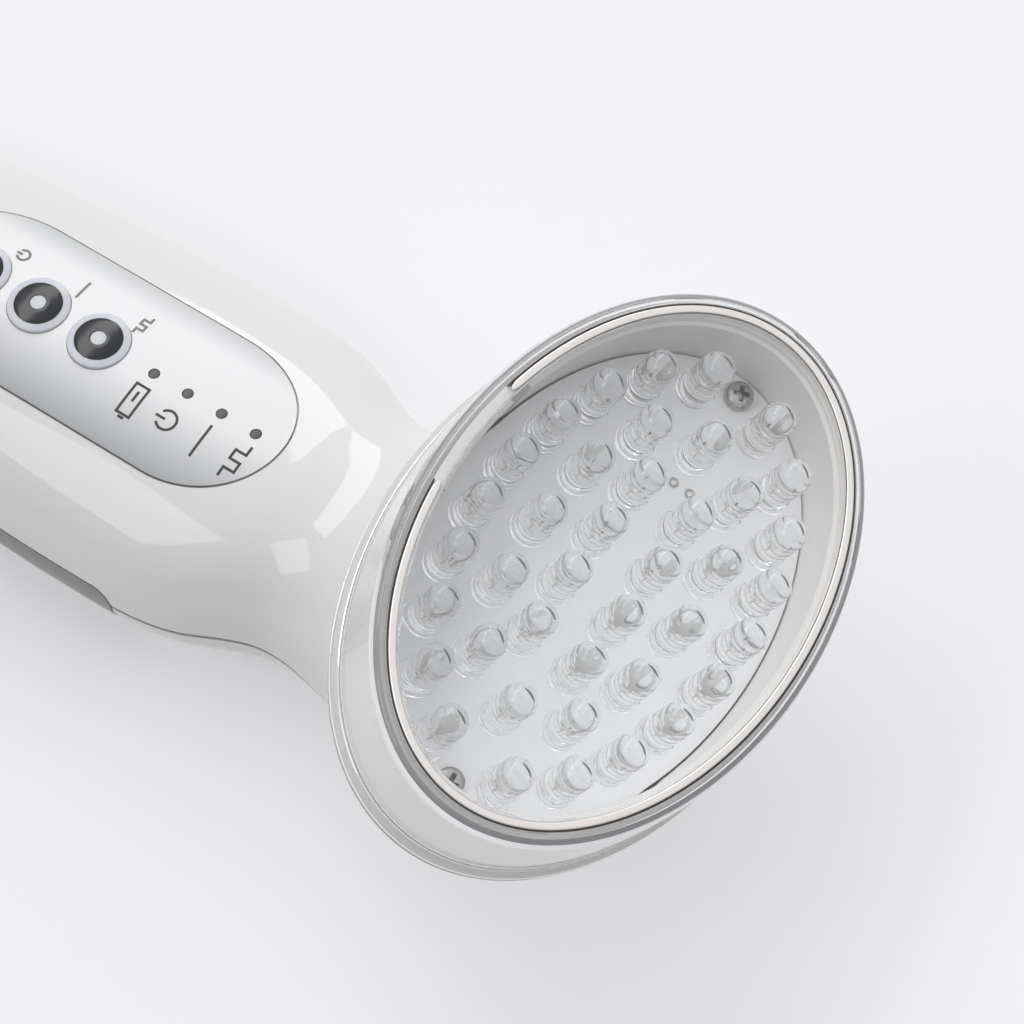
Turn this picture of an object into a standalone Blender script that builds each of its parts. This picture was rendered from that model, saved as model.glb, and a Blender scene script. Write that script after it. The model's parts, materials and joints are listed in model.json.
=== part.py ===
"""Hand-held light therapy device: an egg-shaped two-shell handle with a silver key panel on
top, a neck that turns up, and an oval head with forty clear lamps behind a clear cap.

Frame: +X runs from the tail to the head, +Y across, +Z up. The device lies on its back, the
origin is the centre of its footprint. The head's pieces are modelled in the head's own frame,
whose origin is the middle of the neck's oval rim and whose +Z is the way the lamps shine.
"""
import math

import bmesh
import bpy
from mathutils import Matrix, Vector

MM = 0.001

# Whole device
HEAD_TILT = math.radians(21.7)
HEAD_HEIGHT = 44.25 * MM
GAP = 0.3 * MM
OVERRUN = 4.0 * MM
FULL_TURN = 2.0 * math.pi

# Clear cap, an oval whose long axis runs across the device
CAP_HALF_LENGTH = 43.4 * MM
CAP_HALF_WIDTH = 29.35 * MM
CAP_BEVEL = 1.9 * MM
CAP_BEVEL_DROP = 1.7 * MM
CAP_WALL = 1.3 * MM
CAP_WINDOW = 1.4 * MM
FLANGE_REACH = 0.9 * MM
FLANGE_HEIGHT = 3.2 * MM
FLANGE_ROUND = 0.5 * MM
RIM_LAND = 0.25 * MM
GROOVE_INSET = CAP_BEVEL + RIM_LAND
GROOVE_WIDTH = 1.8 * MM
GROOVE_DEPTH = 0.9 * MM
BEVEL_MID_SHARE = 0.3

# Metal ring in the cap's groove, open towards the handle
RING_CLEARANCE = 0.15 * MM
RING_THICKNESS = GROOVE_DEPTH - RING_CLEARANCE
RING_OPENING = 17.2 * MM

# White lamp well under the cap
WELL_END_WALL = 4.7 * MM
WELL_SIDE_WALL = 4.35 * MM
WELL_HALF_LENGTH = CAP_HALF_LENGTH - WELL_END_WALL
WELL_HALF_WIDTH = CAP_HALF_WIDTH - WELL_SIDE_WALL
WELL_FLOOR = 2.9 * MM
WELL_STEP_DEPTH = 0.9 * MM
WELL_STEP_REACH = 0.7 * MM
WELL_NOTCH_WIDTH = 3.4 * MM
WELL_NOTCH_SHARE = 0.25
WELL_CABLE_HOLE = 6.4 * MM

# Lamp board and its lamps
BOARD_LIFT = 1.85 * MM
BOARD_THICKNESS = 1.6 * MM
BOARD_TOP = WELL_FLOOR + BOARD_LIFT + BOARD_THICKNESS
LAMP_DIAMETER = 5.0 * MM
LAMP_FLANGE_DIAMETER = 5.8 * MM
LAMP_FLANGE_HEIGHT = 1.3 * MM
LAMP_CENTRE_HEIGHT = 9.15 * MM
LAMP_ROOT = 0.4 * MM
BOARD_SCREW_INSET = 3.1 * MM
BOARD_SCREW_PLACE = WELL_HALF_LENGTH - BOARD_SCREW_INSET
BOARD_SCREW_HEAD = 4.2 * MM
BOARD_SCREW_HEAD_HEIGHT = 1.4 * MM
BOARD_SCREW_SHANK = 2.2 * MM
BOARD_POST_DIAMETER = 4.8 * MM
LAMP_TOP = BOARD_TOP + LAMP_CENTRE_HEIGHT + LAMP_DIAMETER / 2
CAP_FACE_HEIGHT = LAMP_TOP + GAP + CAP_WINDOW
CAP_RIM_HEIGHT = CAP_FACE_HEIGHT - CAP_BEVEL_DROP

# Shells and grip
SHELL_WALL = 2.8 * MM
LOWER_WALL = 2.0 * MM
GRIP_THICKNESS = 1.3 * MM
LOWER_INSET = GRIP_THICKNESS + GAP + LOWER_WALL

# Battery
BATTERY_DIAMETER = 18.3 * MM
BATTERY_LENGTH = 65.0 * MM
BATTERY_LIFT = 1.05 * MM
BATTERY_AXIS_HEIGHT = LOWER_INSET + BATTERY_LIFT + BATTERY_DIAMETER / 2
BATTERY_CAN_ROUND = 0.8 * MM
BATTERY_TIP_DIAMETER = 6.0 * MM
BATTERY_TIP_HEIGHT = 1.2 * MM
BATTERY_HEADROOM = 1.65 * MM
BATTERY_END_ROOM = 5.0 * MM
SADDLE_WIDTH = 3.0 * MM
SADDLE_SPREAD_SHARE = 0.65
SADDLE_SIDE = 2.35 * MM

# Control board over the battery, with its switches under the keys
CONTROL_THICKNESS = 1.6 * MM
CONTROL_TOP = BATTERY_AXIS_HEIGHT + BATTERY_DIAMETER / 2 + BATTERY_HEADROOM + CONTROL_THICKNESS
CONTROL_MARGIN = 0.25 * MM
CONTROL_WIDTH = 22.0 * MM
CONTROL_SCREW_INSET = 4.0 * MM
CONTROL_SCREW_SPREAD = 7.0 * MM
CONTROL_SCREW_HEAD = 4.4 * MM
SWITCH_SIDE = 6.0 * MM
SWITCH_HEIGHT = 2.1 * MM
SWITCH_PLUNGER = 3.4 * MM
SWITCH_PLUNGER_HEIGHT = 0.7 * MM
INDICATOR_SIDE = 1.6 * MM
INDICATOR_HEIGHT = 0.8 * MM
DRIVER_CHIP_SIDE = 7.0 * MM
DRIVER_CHIP_HEIGHT = 1.2 * MM

# Keys and lights
KEY_DIAMETER = 9.6 * MM
KEY_PROUD = 0.45 * MM
KEY_CROWN = 0.55 * MM
KEY_TRAVEL = 0.5 * MM
KEY_FLANGE_REACH = 0.7 * MM
KEY_FLANGE_DIAMETER = KEY_DIAMETER + 2 * KEY_FLANGE_REACH
KEY_FLANGE_THICKNESS = 1.0 * MM
KEY_SHOULDER_DROP = 0.4 * MM
KEY_STEM_DIAMETER = 4.0 * MM
KEY_STEM_LENGTH = 0.6 * MM
KEY_RING_OUTER = 7.3 * MM
KEY_RING_INNER = 2.7 * MM
KEY_RING_THICKNESS = 0.6 * MM
KEY_RING_CLEARANCE = 0.15 * MM
KEY_SPACING = 0.3 * MM
KEY_PITCH = KEY_FLANGE_DIAMETER + KEY_SPACING
SWITCH_TOP = CONTROL_TOP + GAP + SWITCH_HEIGHT + SWITCH_PLUNGER_HEIGHT
KEY_STEM_LOW = SWITCH_TOP + GAP + KEY_TRAVEL
KEY_FLANGE_LOW = KEY_STEM_LOW + KEY_STEM_LENGTH
KEY_FLANGE_TOP = KEY_FLANGE_LOW + KEY_FLANGE_THICKNESS
LIGHT_PITCH = 6.17 * MM
LIGHT_DIAMETER = 1.7 * MM
LIGHT_FLANGE_DIAMETER = 3.2 * MM
KEY_NAMES = ("power", "continuous", "pulse")
LIGHT_NAMES = ("charge", "power", "continuous", "pulse")

# Handle and neck
HANDLE_TOP = KEY_FLANGE_TOP + GAP + SHELL_WALL + KEY_SHOULDER_DROP
HANDLE_FLAT = 0.4 * MM
HANDLE_HALF_HEIGHT = (HANDLE_TOP + HANDLE_FLAT) / 2
HANDLE_AXIS_HEIGHT = HANDLE_HALF_HEIGHT - HANDLE_FLAT
HANDLE_HALF_WIDTH = 28.3 * MM
NECK_REACH = 50.3 * MM
NECK_HALF_WIDTH = 21.0 * MM
NECK_HALF_HEIGHT = 16.4 * MM
NECK_START_PULL = 21.4 * MM
NECK_END_PULL = 22.9 * MM
RIM_HALF_LENGTH = CAP_HALF_LENGTH + FLANGE_REACH
RIM_HALF_WIDTH = CAP_HALF_WIDTH + FLANGE_REACH
SEAM_DROP = 0.05 * MM
SEAM_HEIGHT = HANDLE_AXIS_HEIGHT - SEAM_DROP
SHELL_SIDES = 28
HANDLE_RINGS = 13
NECK_RINGS = 9

# Key panel, long enough for its row of keys and lights
PANEL_SETBACK = 1.45 * MM
PANEL_LIGHT_INSET = 4.65 * MM
PANEL_LIGHT_TO_KEY = 10.2 * MM
PANEL_KEY_INSET = 11.55 * MM
PANEL_ROW = LIGHT_PITCH * (len(LIGHT_NAMES) - 1) + PANEL_LIGHT_TO_KEY + KEY_PITCH * (len(KEY_NAMES) - 1)
PANEL_HALF_LENGTH = (PANEL_LIGHT_INSET + PANEL_ROW + PANEL_KEY_INSET) / 2
PANEL_HALF_WIDTH = 13.2 * MM
PANEL_END = 16.0 * MM
PANEL_THICKNESS = 0.5 * MM
PANEL_PROUD = 0.1 * MM
PANEL_PLACE = NECK_REACH + PANEL_SETBACK + PANEL_HALF_LENGTH
CONTROL_LENGTH = 2 * (PANEL_HALF_LENGTH + CONTROL_MARGIN)

# Case screws, posts and bosses
CASE_SCREW_HEAD = 4.8 * MM
CASE_SCREW_HEAD_HEIGHT = 1.9 * MM
CASE_SCREW_SHANK = 2.6 * MM
CASE_SCREW_LENGTH = 12.0 * MM
CASE_POST_DIAMETER = 6.4 * MM
CASE_BOSS_DIAMETER = 8.0 * MM
CASE_HEAD_SEAT = 8.2 * MM
CASE_FRONT_SETBACK = 20.0 * MM
CASE_FRONT_PLACE = NECK_REACH + CASE_FRONT_SETBACK
CASE_FRONT_SPREAD_SHARE = 0.586
CASE_FRONT_SPREAD = HANDLE_HALF_WIDTH * CASE_FRONT_SPREAD_SHARE
BATTERY_PLACE = CASE_FRONT_PLACE + CASE_BOSS_DIAMETER / 2 + BATTERY_END_ROOM + BATTERY_LENGTH / 2
CASE_REAR_ROOM = 2.7 * MM
CASE_REAR_PLACE = BATTERY_PLACE + BATTERY_LENGTH / 2 + CASE_REAR_ROOM + CASE_BOSS_DIAMETER / 2
CASE_REAR_SPREAD_SHARE = 0.338
CASE_REAR_SPREAD = HANDLE_HALF_WIDTH * CASE_REAR_SPREAD_SHARE

# Rear grip, wrapped round the underside and a little above the seam
GRIP_RISE = 2.65 * MM
GRIP_TOP = SEAM_HEIGHT + GRIP_RISE
GRIP_CORNER = 3.2 * MM
GRIP_FRONT_MARGIN = 6.0 * MM
GRIP_REAR_MARGIN = 9.3 * MM
GRIP_FRONT = CASE_FRONT_PLACE - GRIP_FRONT_MARGIN
GRIP_REAR = CASE_REAR_PLACE + GRIP_REAR_MARGIN

# Charging socket in the tail
SOCKET_NOSE_DIAMETER = 8.0 * MM
SOCKET_NOSE_LENGTH = 6.0 * MM
SOCKET_LENGTH = 9.0 * MM
SOCKET_WIDTH = 10.0 * MM
SOCKET_HEIGHT = 8.0 * MM
SOCKET_BORE = 3.6 * MM
SOCKET_BORE_DEPTH = 8.5 * MM
SOCKET_PIN = 1.2 * MM
SOCKET_PIN_INSET = 1.5 * MM
SOCKET_INSET = 0.5 * MM
SOCKET_ROOM = 8.8 * MM

# Inner leads
LAMP_LEAD_DIAMETER = 2.4 * MM
POWER_LEAD_DIAMETER = 1.6 * MM

# Overall places
TAIL_REACH = (
    CASE_REAR_PLACE + CASE_BOSS_DIAMETER / 2 + SOCKET_ROOM + SOCKET_LENGTH + SOCKET_NOSE_LENGTH + SOCKET_INSET
)
FRONT_REACH = CAP_HALF_WIDTH * math.cos(HEAD_TILT) + CAP_RIM_HEIGHT * math.sin(HEAD_TILT)
HEAD_X = (TAIL_REACH - FRONT_REACH) / 2
HEAD_NORMAL = Vector((math.sin(HEAD_TILT), 0, math.cos(HEAD_TILT)))
HEAD_CENTRE = Vector((HEAD_X, 0, HEAD_HEIGHT))
TAIL_X = HEAD_X - TAIL_REACH
NECK_X = HEAD_X - NECK_REACH
PANEL_X = HEAD_X - PANEL_PLACE

# Shares of the straight handle's length, half width and half height, from the tail's tip
HANDLE_SHARES = (
    (0.0, 0.16, 0.2),
    (0.008, 0.255, 0.32),
    (0.03, 0.43, 0.53),
    (0.075, 0.585, 0.72),
    (0.16, 0.71, 0.86),
    (0.28, 0.81, 0.945),
    (0.42, 0.894, 0.985),
    (0.56, 0.944, 1.0),
    (0.71, 0.985, 1.0),
    (0.84, 0.99, 1.0),
    (0.92, 0.973, 1.0),
    (0.97, 0.926, 1.0),
    (1.0, 0.8665, 1.0),
)

# Shares along the neck: handle, waist and rim parts of its half width, then of its half height
NECK_SHARES = (
    (0.0, 0.8665, 0.0, 0.0, 1.0, 0.0, 0.0),
    (0.05, 0.55, 0.354, 0.0, 0.8, 0.216, 0.0),
    (0.12, 0.25, 0.683, 0.0, 0.5, 0.523, 0.0),
    (0.19, 0.06, 0.926, 0.0, 0.25, 0.774, 0.0),
    (0.27, 0.0, 0.961, 0.04, 0.08, 0.953, 0.0),
    (0.4, 0.0, 0.699, 0.22, 0.0, 0.921, 0.08),
    (0.6, 0.0, 0.362, 0.5, 0.0, 0.669, 0.3),
    (0.8, 0.0, 0.133, 0.76, 0.0, 0.284, 0.66),
    (0.92, 0.0, 0.034, 0.91, 0.0, 0.08, 0.88),
    (1.0, 0.0, 0.0, 1.0, 0.0, 0.0, 1.0),
)

# Lamps of one quarter, in shares of the well's half length and half width
OUTER_LAMP_SHARES = ((0.1065, 0.784), (0.31, 0.733), (0.508, 0.631), (0.6925, 0.468), (0.8295, 0.218))
SECOND_LAMP_SHARES = ((0.0, 0.479), (0.2665, 0.447), (0.517, 0.311), (0.6165, 0.0))
INNER_LAMP_SHARES = ((0.1135, 0.184), (0.3395, 0.167))


def clear_scene():
    for item in list(bpy.data.objects):
        bpy.data.objects.remove(item, do_unlink=True)


def make_material(name, colour, roughness, metallic=0.0, transmission=0.0):
    material = bpy.data.materials.new(name)
    material.use_nodes = True
    shader = material.node_tree.nodes["Principled BSDF"]
    shader.inputs["Base Color"].default_value = (*colour, 1.0)
    shader.inputs["Roughness"].default_value = roughness
    shader.inputs["Metallic"].default_value = metallic
    shader.inputs["Transmission Weight"].default_value = transmission
    return material


def add_object(name, mesh, material=None, parent=None):
    item = bpy.data.objects.new(name, mesh)
    bpy.context.scene.collection.objects.link(item)
    if material is not None:
        mesh.materials.append(material)
    if parent is not None:
        item.parent = parent
    return item


def mesh_from(bm, name, crease=40.0):
    bmesh.ops.recalc_face_normals(bm, faces=bm.faces)
    mesh = bpy.data.meshes.new(name)
    bm.to_mesh(mesh)
    bm.free()
    mesh.shade_smooth()
    mesh.set_sharp_from_angle(angle=math.radians(crease))
    return mesh


def skin_rings(name, rings, close_loop=False):
    """Bridge a row of point rings; the ends are filled, or joined to each other in a loop."""
    bm = bmesh.new()
    rows = [[bm.verts.new(point) for point in ring] for ring in rings]
    pairs = list(zip(rows, rows[1:]))
    if close_loop:
        pairs.append((rows[-1], rows[0]))
    for first, second in pairs:
        count = len(first)
        for index in range(count):
            following = (index + 1) % count
            bm.faces.new((first[index], first[following], second[following], second[index]))
    if not close_loop:
        bm.faces.new(rows[0])
        bm.faces.new(rows[-1])
    return mesh_from(bm, name)


def turned(name, profile, sides=24):
    """A body of revolution about +Z from (radius, height) rows, filled at both ends."""
    rings = []
    for radius, height in profile:
        angles = [FULL_TURN * step / sides for step in range(sides)]
        rings.append([Vector((radius * math.cos(a), radius * math.sin(a), height)) for a in angles])
    return skin_rings(name, rings)


def turned_loop(name, profile, sides=24):
    """A ring turned about +Z from a closed (radius, height) section."""
    rings = []
    for radius, height in profile:
        angles = [FULL_TURN * step / sides for step in range(sides)]
        rings.append([Vector((radius * math.cos(a), radius * math.sin(a), height)) for a in angles])
    return skin_rings(name, rings, close_loop=True)


def oval_points(half_length, half_width, height, sides=36):
    """An oval with its long axis along Y, in the head's frame."""
    angles = [FULL_TURN * step / sides for step in range(sides)]
    return [Vector((half_width * math.sin(a), half_length * math.cos(a), height)) for a in angles]


def box_mesh(name, low, high):
    bm = bmesh.new()
    bmesh.ops.create_cube(bm, size=1.0)
    low = Vector(low)
    high = Vector(high)
    size = high - low
    middle = (high + low) / 2
    placing = Matrix.Translation(middle) @ Matrix.Diagonal((*size, 1.0))
    bmesh.ops.transform(bm, matrix=placing, verts=bm.verts)
    return mesh_from(bm, name)


def prism_mesh(name, outline, low, high, axis="Z"):
    """Extrude a flat outline from low to high along Z, or along Y for an outline in X and Z."""
    if axis == "Z":
        rings = [[Vector((u, v, level)) for u, v in outline] for level in (low, high)]
    else:
        rings = [[Vector((u, level, v)) for u, v in outline] for level in (low, high)]
    return skin_rings(name, rings)


def joined(name, meshes):
    """One mesh that holds several separate bodies, for use as a cutter or as added posts."""
    bm = bmesh.new()
    for mesh in meshes:
        bm.from_mesh(mesh)
    result = bpy.data.meshes.new(name)
    bm.to_mesh(result)
    bm.free()
    return result


def moved(mesh, place, turn=None):
    matrix = Matrix.Translation(place)
    if turn is not None:
        matrix = matrix @ turn
    mesh.transform(matrix)
    return mesh


def helper(name, mesh, parent=None):
    item = add_object(name, mesh, parent=parent)
    item.hide_render = True
    item.display_type = "WIRE"
    return item


def combine(item, other, operation):
    modifier = item.modifiers.new(operation.title(), "BOOLEAN")
    modifier.object = other
    modifier.operation = operation
    modifier.solver = "EXACT"


def cut(item, other):
    combine(item, other, "DIFFERENCE")


def fuse(item, other):
    combine(item, other, "UNION")


def keep_inside(item, other):
    combine(item, other, "INTERSECT")


def smooth_row(table, along):
    """Read a table of rows at a place along it, on a smooth curve through the rows."""
    last = len(table) - 1
    index = 0
    while index < last - 1 and along > table[index + 1][0]:
        index += 1
    start = table[index]
    end = table[index + 1]
    before = table[max(index - 1, 0)]
    after = table[min(index + 2, last)]
    span = end[0] - start[0]
    local = min(max((along - start[0]) / span, 0.0), 1.0)
    values = []
    for column in range(1, len(start)):
        leaving = (end[column] - before[column]) / (end[0] - before[0]) * span
        arriving = (after[column] - start[column]) / (after[0] - start[0]) * span
        square = local * local
        cube = square * local
        values.append(
            (2 * cube - 3 * square + 1) * start[column]
            + (cube - 2 * square + local) * leaving
            + (3 * square - 2 * cube) * end[column]
            + (cube - square) * arriving
        )
    return values


def handle_section(along, inset):
    """Centre, turn, half width and half height of a section of the straight handle."""
    wide, high = smooth_row(HANDLE_SHARES, along)
    start = TAIL_X + inset
    centre = Vector((start + (NECK_X - start) * along, 0, HANDLE_AXIS_HEIGHT))
    return centre, 0.0, wide * (HANDLE_HALF_WIDTH - inset), high * (HANDLE_HALF_HEIGHT - inset)


def neck_section(along, inset):
    """The same for a section of the neck, which bends up from the handle to the head's rim."""
    shares = smooth_row(NECK_SHARES, along)
    widths = (HANDLE_HALF_WIDTH - inset, NECK_HALF_WIDTH - inset, RIM_HALF_LENGTH - inset)
    heights = (HANDLE_HALF_HEIGHT - inset, NECK_HALF_HEIGHT - inset, RIM_HALF_WIDTH - inset)
    wide = sum(share * width for share, width in zip(shares[:3], widths))
    high = sum(share * height for share, height in zip(shares[3:], heights))
    start = Vector((NECK_X, 0, HANDLE_AXIS_HEIGHT))
    pull = start + Vector((NECK_START_PULL, 0, 0))
    push = HEAD_CENTRE - HEAD_NORMAL * NECK_END_PULL
    rest = 1 - along
    centre = (
        start * rest ** 3
        + pull * 3 * rest ** 2 * along
        + push * 3 * rest * along ** 2
        + HEAD_CENTRE * along ** 3
    )
    slope = (
        (pull - start) * 3 * rest ** 2
        + (push - pull) * 6 * rest * along
        + (HEAD_CENTRE - push) * 3 * along ** 2
    )
    return centre, math.atan2(slope.z, slope.x), wide, high


def section_points(centre, turn, wide, high):
    """Points round a section; none lies below the flat that the device rests on."""
    points = []
    for step in range(SHELL_SIDES):
        angle = FULL_TURN * step / SHELL_SIDES
        across = wide * math.cos(angle)
        upward = high * math.sin(angle)
        point = centre + Vector((-upward * math.sin(turn), across, upward * math.cos(turn)))
        point.z = max(point.z, 0.0)
        points.append(point)
    return points


def body_rings(inset):
    """Sections of the whole handle and neck, set in from the outer skin by the inset."""
    rings = []
    for step in range(HANDLE_RINGS):
        along = (step / HANDLE_RINGS) ** 1.6
        rings.append(section_points(*handle_section(along, inset)))
    for step in range(NECK_RINGS):
        along = step / (NECK_RINGS - 1)
        rings.append(section_points(*neck_section(along, inset)))
    return rings


def body_mesh(name, inset):
    """The whole handle and neck as one solid."""
    return skin_rings(name, body_rings(inset))


def hollow_mesh(name, inset, wall):
    """The same as one skin with a hollow that is open at the head's rim."""
    return skin_rings(name, body_rings(inset) + body_rings(inset + wall)[::-1])


def panel_outline(grow):
    """Straight sides and half-oval ends, in plan, round the panel's middle."""
    half_width = PANEL_HALF_WIDTH + grow
    end_reach = PANEL_END + grow
    straight = PANEL_HALF_LENGTH - PANEL_END
    steps = 12
    points = []
    for side in (1, -1):
        for step in range(steps + 1):
            angle = math.pi * step / steps - math.pi / 2
            x = side * (straight + end_reach * math.cos(angle))
            y = side * half_width * math.sin(angle)
            points.append((PANEL_X + x, y))
    return points


def grip_outline(grow):
    """Side view of the grip's reach, with round upper corners and an open lower side."""
    front = HEAD_X - GRIP_FRONT + grow
    rear = HEAD_X - GRIP_REAR - grow
    top = GRIP_TOP + grow
    radius = GRIP_CORNER + grow
    steps = 4
    points = [(rear, -OVERRUN), (front, -OVERRUN)]
    for step in range(steps + 1):
        angle = math.pi / 2 * step / steps
        points.append((front - radius + radius * math.cos(angle), top - radius + radius * math.sin(angle)))
    for step in range(steps + 1):
        angle = math.pi / 2 * (1 + step / steps)
        points.append((rear + radius + radius * math.cos(angle), top - radius + radius * math.sin(angle)))
    return points


def light_places():
    front = PANEL_X + PANEL_HALF_LENGTH - PANEL_LIGHT_INSET
    last = len(LIGHT_NAMES) - 1
    return [(name, front - LIGHT_PITCH * (last - index)) for index, name in enumerate(LIGHT_NAMES)]


def key_places():
    front = light_places()[0][1] - PANEL_LIGHT_TO_KEY
    last = len(KEY_NAMES) - 1
    return [(name, front - KEY_PITCH * (last - index)) for index, name in enumerate(KEY_NAMES)]


def case_screw_places():
    front = HEAD_X - CASE_FRONT_PLACE
    rear = HEAD_X - CASE_REAR_PLACE
    return (
        ("front_left", front, CASE_FRONT_SPREAD),
        ("front_right", front, -CASE_FRONT_SPREAD),
        ("rear_left", rear, CASE_REAR_SPREAD),
        ("rear_right", rear, -CASE_REAR_SPREAD),
    )


def lamp_places():
    """All lamp places in the head's frame, mirrored from one quarter of the board."""
    places = []
    for across, along in OUTER_LAMP_SHARES + SECOND_LAMP_SHARES + INNER_LAMP_SHARES:
        for side in (1, -1):
            for end in (1, -1):
                place = (side * along * WELL_HALF_WIDTH, end * across * WELL_HALF_LENGTH)
                if place not in places:
                    places.append(place)
    return places


# Head pieces
def build_cap(head, material):
    length = CAP_HALF_LENGTH
    width = CAP_HALF_WIDTH
    outer_groove = -GROOVE_INSET
    inner_groove = -GROOVE_INSET - GROOVE_WIDTH
    rows = (
        (-CAP_WALL, CAP_FACE_HEIGHT - CAP_WINDOW),
        (-CAP_WALL, 0),
        (FLANGE_REACH - FLANGE_ROUND, 0),
        (FLANGE_REACH, FLANGE_ROUND),
        (FLANGE_REACH, FLANGE_HEIGHT - FLANGE_ROUND),
        (FLANGE_REACH - FLANGE_ROUND, FLANGE_HEIGHT),
        (0, FLANGE_HEIGHT + FLANGE_ROUND),
        (0, CAP_RIM_HEIGHT),
        (-CAP_BEVEL * BEVEL_MID_SHARE, CAP_FACE_HEIGHT - CAP_BEVEL_DROP * BEVEL_MID_SHARE),
        (-CAP_BEVEL, CAP_FACE_HEIGHT),
        (outer_groove, CAP_FACE_HEIGHT),
        (outer_groove, CAP_FACE_HEIGHT - GROOVE_DEPTH),
        (inner_groove, CAP_FACE_HEIGHT - GROOVE_DEPTH),
        (inner_groove, CAP_FACE_HEIGHT),
    )
    rings = [oval_points(length + reach, width + reach, height) for reach, height in rows]
    return add_object("lens_cap", skin_rings("lens_cap", rings), material, head)


def build_front_ring(head, material):
    outer = -GROOVE_INSET - RING_CLEARANCE
    inner = -GROOVE_INSET - GROOVE_WIDTH + RING_CLEARANCE
    low = CAP_FACE_HEIGHT - GROOVE_DEPTH + RING_CLEARANCE
    high = low + RING_THICKNESS
    half_opening = math.asin(RING_OPENING / 2 / (CAP_HALF_LENGTH + outer))
    first = -math.pi / 2 + half_opening
    sweep = FULL_TURN - 2 * half_opening
    steps = 32
    rings = []
    for step in range(steps + 1):
        angle = first + sweep * step / steps
        ring = []
        for reach, height in ((outer, low), (outer, high), (inner, high), (inner, low)):
            x = (CAP_HALF_WIDTH + reach) * math.sin(angle)
            y = (CAP_HALF_LENGTH + reach) * math.cos(angle)
            ring.append(Vector((x, y, height)))
        rings.append(ring)
    return add_object("front_ring", skin_rings("front_ring", rings), material, head)


def build_lamp_well(head, material):
    reach = -CAP_WALL - GAP
    top = CAP_FACE_HEIGHT - CAP_WINDOW - GAP
    rows = (
        (WELL_HALF_LENGTH, WELL_HALF_WIDTH, WELL_FLOOR),
        (WELL_HALF_LENGTH, WELL_HALF_WIDTH, top - WELL_STEP_DEPTH),
        (WELL_HALF_LENGTH + WELL_STEP_REACH, WELL_HALF_WIDTH + WELL_STEP_REACH, top - WELL_STEP_DEPTH),
        (WELL_HALF_LENGTH + WELL_STEP_REACH, WELL_HALF_WIDTH + WELL_STEP_REACH, top),
        (CAP_HALF_LENGTH + reach, CAP_HALF_WIDTH + reach, top),
        (CAP_HALF_LENGTH + reach, CAP_HALF_WIDTH + reach, GAP),
    )
    rings = [oval_points(*row) for row in rows]
    well = add_object("lamp_well", skin_rings("lamp_well", rings), material, head)
    posts = []
    for end in (1, -1):
        post = turned("post", (
            (BOARD_POST_DIAMETER / 2, WELL_FLOOR - GAP),
            (BOARD_POST_DIAMETER / 2, BOARD_TOP - BOARD_THICKNESS - GAP),
        ), 12)
        posts.append(moved(post, (0, end * BOARD_SCREW_PLACE, 0)))
    fuse(well, helper("lamp_well_posts", joined("lamp_well_posts", posts), head))
    cuts = []
    notch_place = WELL_HALF_LENGTH * WELL_NOTCH_SHARE
    for end in (1, -1):
        pilot_radius = BOARD_SCREW_SHANK / 2 + GAP
        hole = turned("pilot", ((pilot_radius, -OVERRUN), (pilot_radius, BOARD_TOP)), 10)
        cuts.append(moved(hole, (0, end * BOARD_SCREW_PLACE, 0)))
        cuts.append(box_mesh(
            "notch",
            (-WELL_HALF_WIDTH - WELL_STEP_REACH, end * notch_place - WELL_NOTCH_WIDTH / 2, BOARD_TOP),
            (-WELL_HALF_WIDTH / 2, end * notch_place + WELL_NOTCH_WIDTH / 2, top + OVERRUN),
        ))
    cuts.append(turned("cable", ((WELL_CABLE_HOLE / 2, -OVERRUN), (WELL_CABLE_HOLE / 2, BOARD_TOP)), 12))
    cut(well, helper("lamp_well_cuts", joined("lamp_well_cuts", cuts), head))
    return well


def lamp_mesh(x, y):
    radius = LAMP_DIAMETER / 2
    flange = LAMP_FLANGE_DIAMETER / 2
    centre = BOARD_TOP + LAMP_CENTRE_HEIGHT
    profile = [
        (flange, BOARD_TOP - LAMP_ROOT),
        (flange, BOARD_TOP + LAMP_FLANGE_HEIGHT),
        (radius, BOARD_TOP + LAMP_FLANGE_HEIGHT),
    ]
    for degrees in (0, 50):
        angle = math.radians(degrees)
        profile.append((radius * math.cos(angle), centre + radius * math.sin(angle)))
    return moved(turned("lamp", profile, 6), (x, y, 0))


def build_lamp_board(head, material):
    edge_length = WELL_HALF_LENGTH - GAP
    edge_width = WELL_HALF_WIDTH - GAP
    levels = (BOARD_TOP - BOARD_THICKNESS, BOARD_TOP)
    rings = [oval_points(edge_length, edge_width, level) for level in levels]
    board = add_object("lamp_board", skin_rings("lamp_board", rings), material, head)
    lamps = [lamp_mesh(x, y) for x, y in lamp_places()]
    fuse(board, helper("lamp_board_lamps", joined("lamp_board_lamps", lamps), head))
    holes = []
    for end in (1, -1):
        radius = BOARD_SCREW_SHANK / 2 + GAP
        hole = turned("hole", ((radius, BOARD_TOP - BOARD_THICKNESS - GAP), (radius, BOARD_TOP + GAP)), 10)
        holes.append(moved(hole, (0, end * BOARD_SCREW_PLACE, 0)))
    cut(board, helper("lamp_board_holes", joined("lamp_board_holes", holes), head))
    return board


def cross_recess(name, diameter, depth, level):
    """Two crossed slots for a driver, open at the level given."""
    reach = diameter * 0.3
    blade = diameter * 0.09
    first = box_mesh(name, (-reach, -blade, level - depth), (reach, blade, level + GAP))
    second = box_mesh(name, (-blade, -reach, level - depth), (blade, reach, level + GAP))
    return first, second


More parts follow.
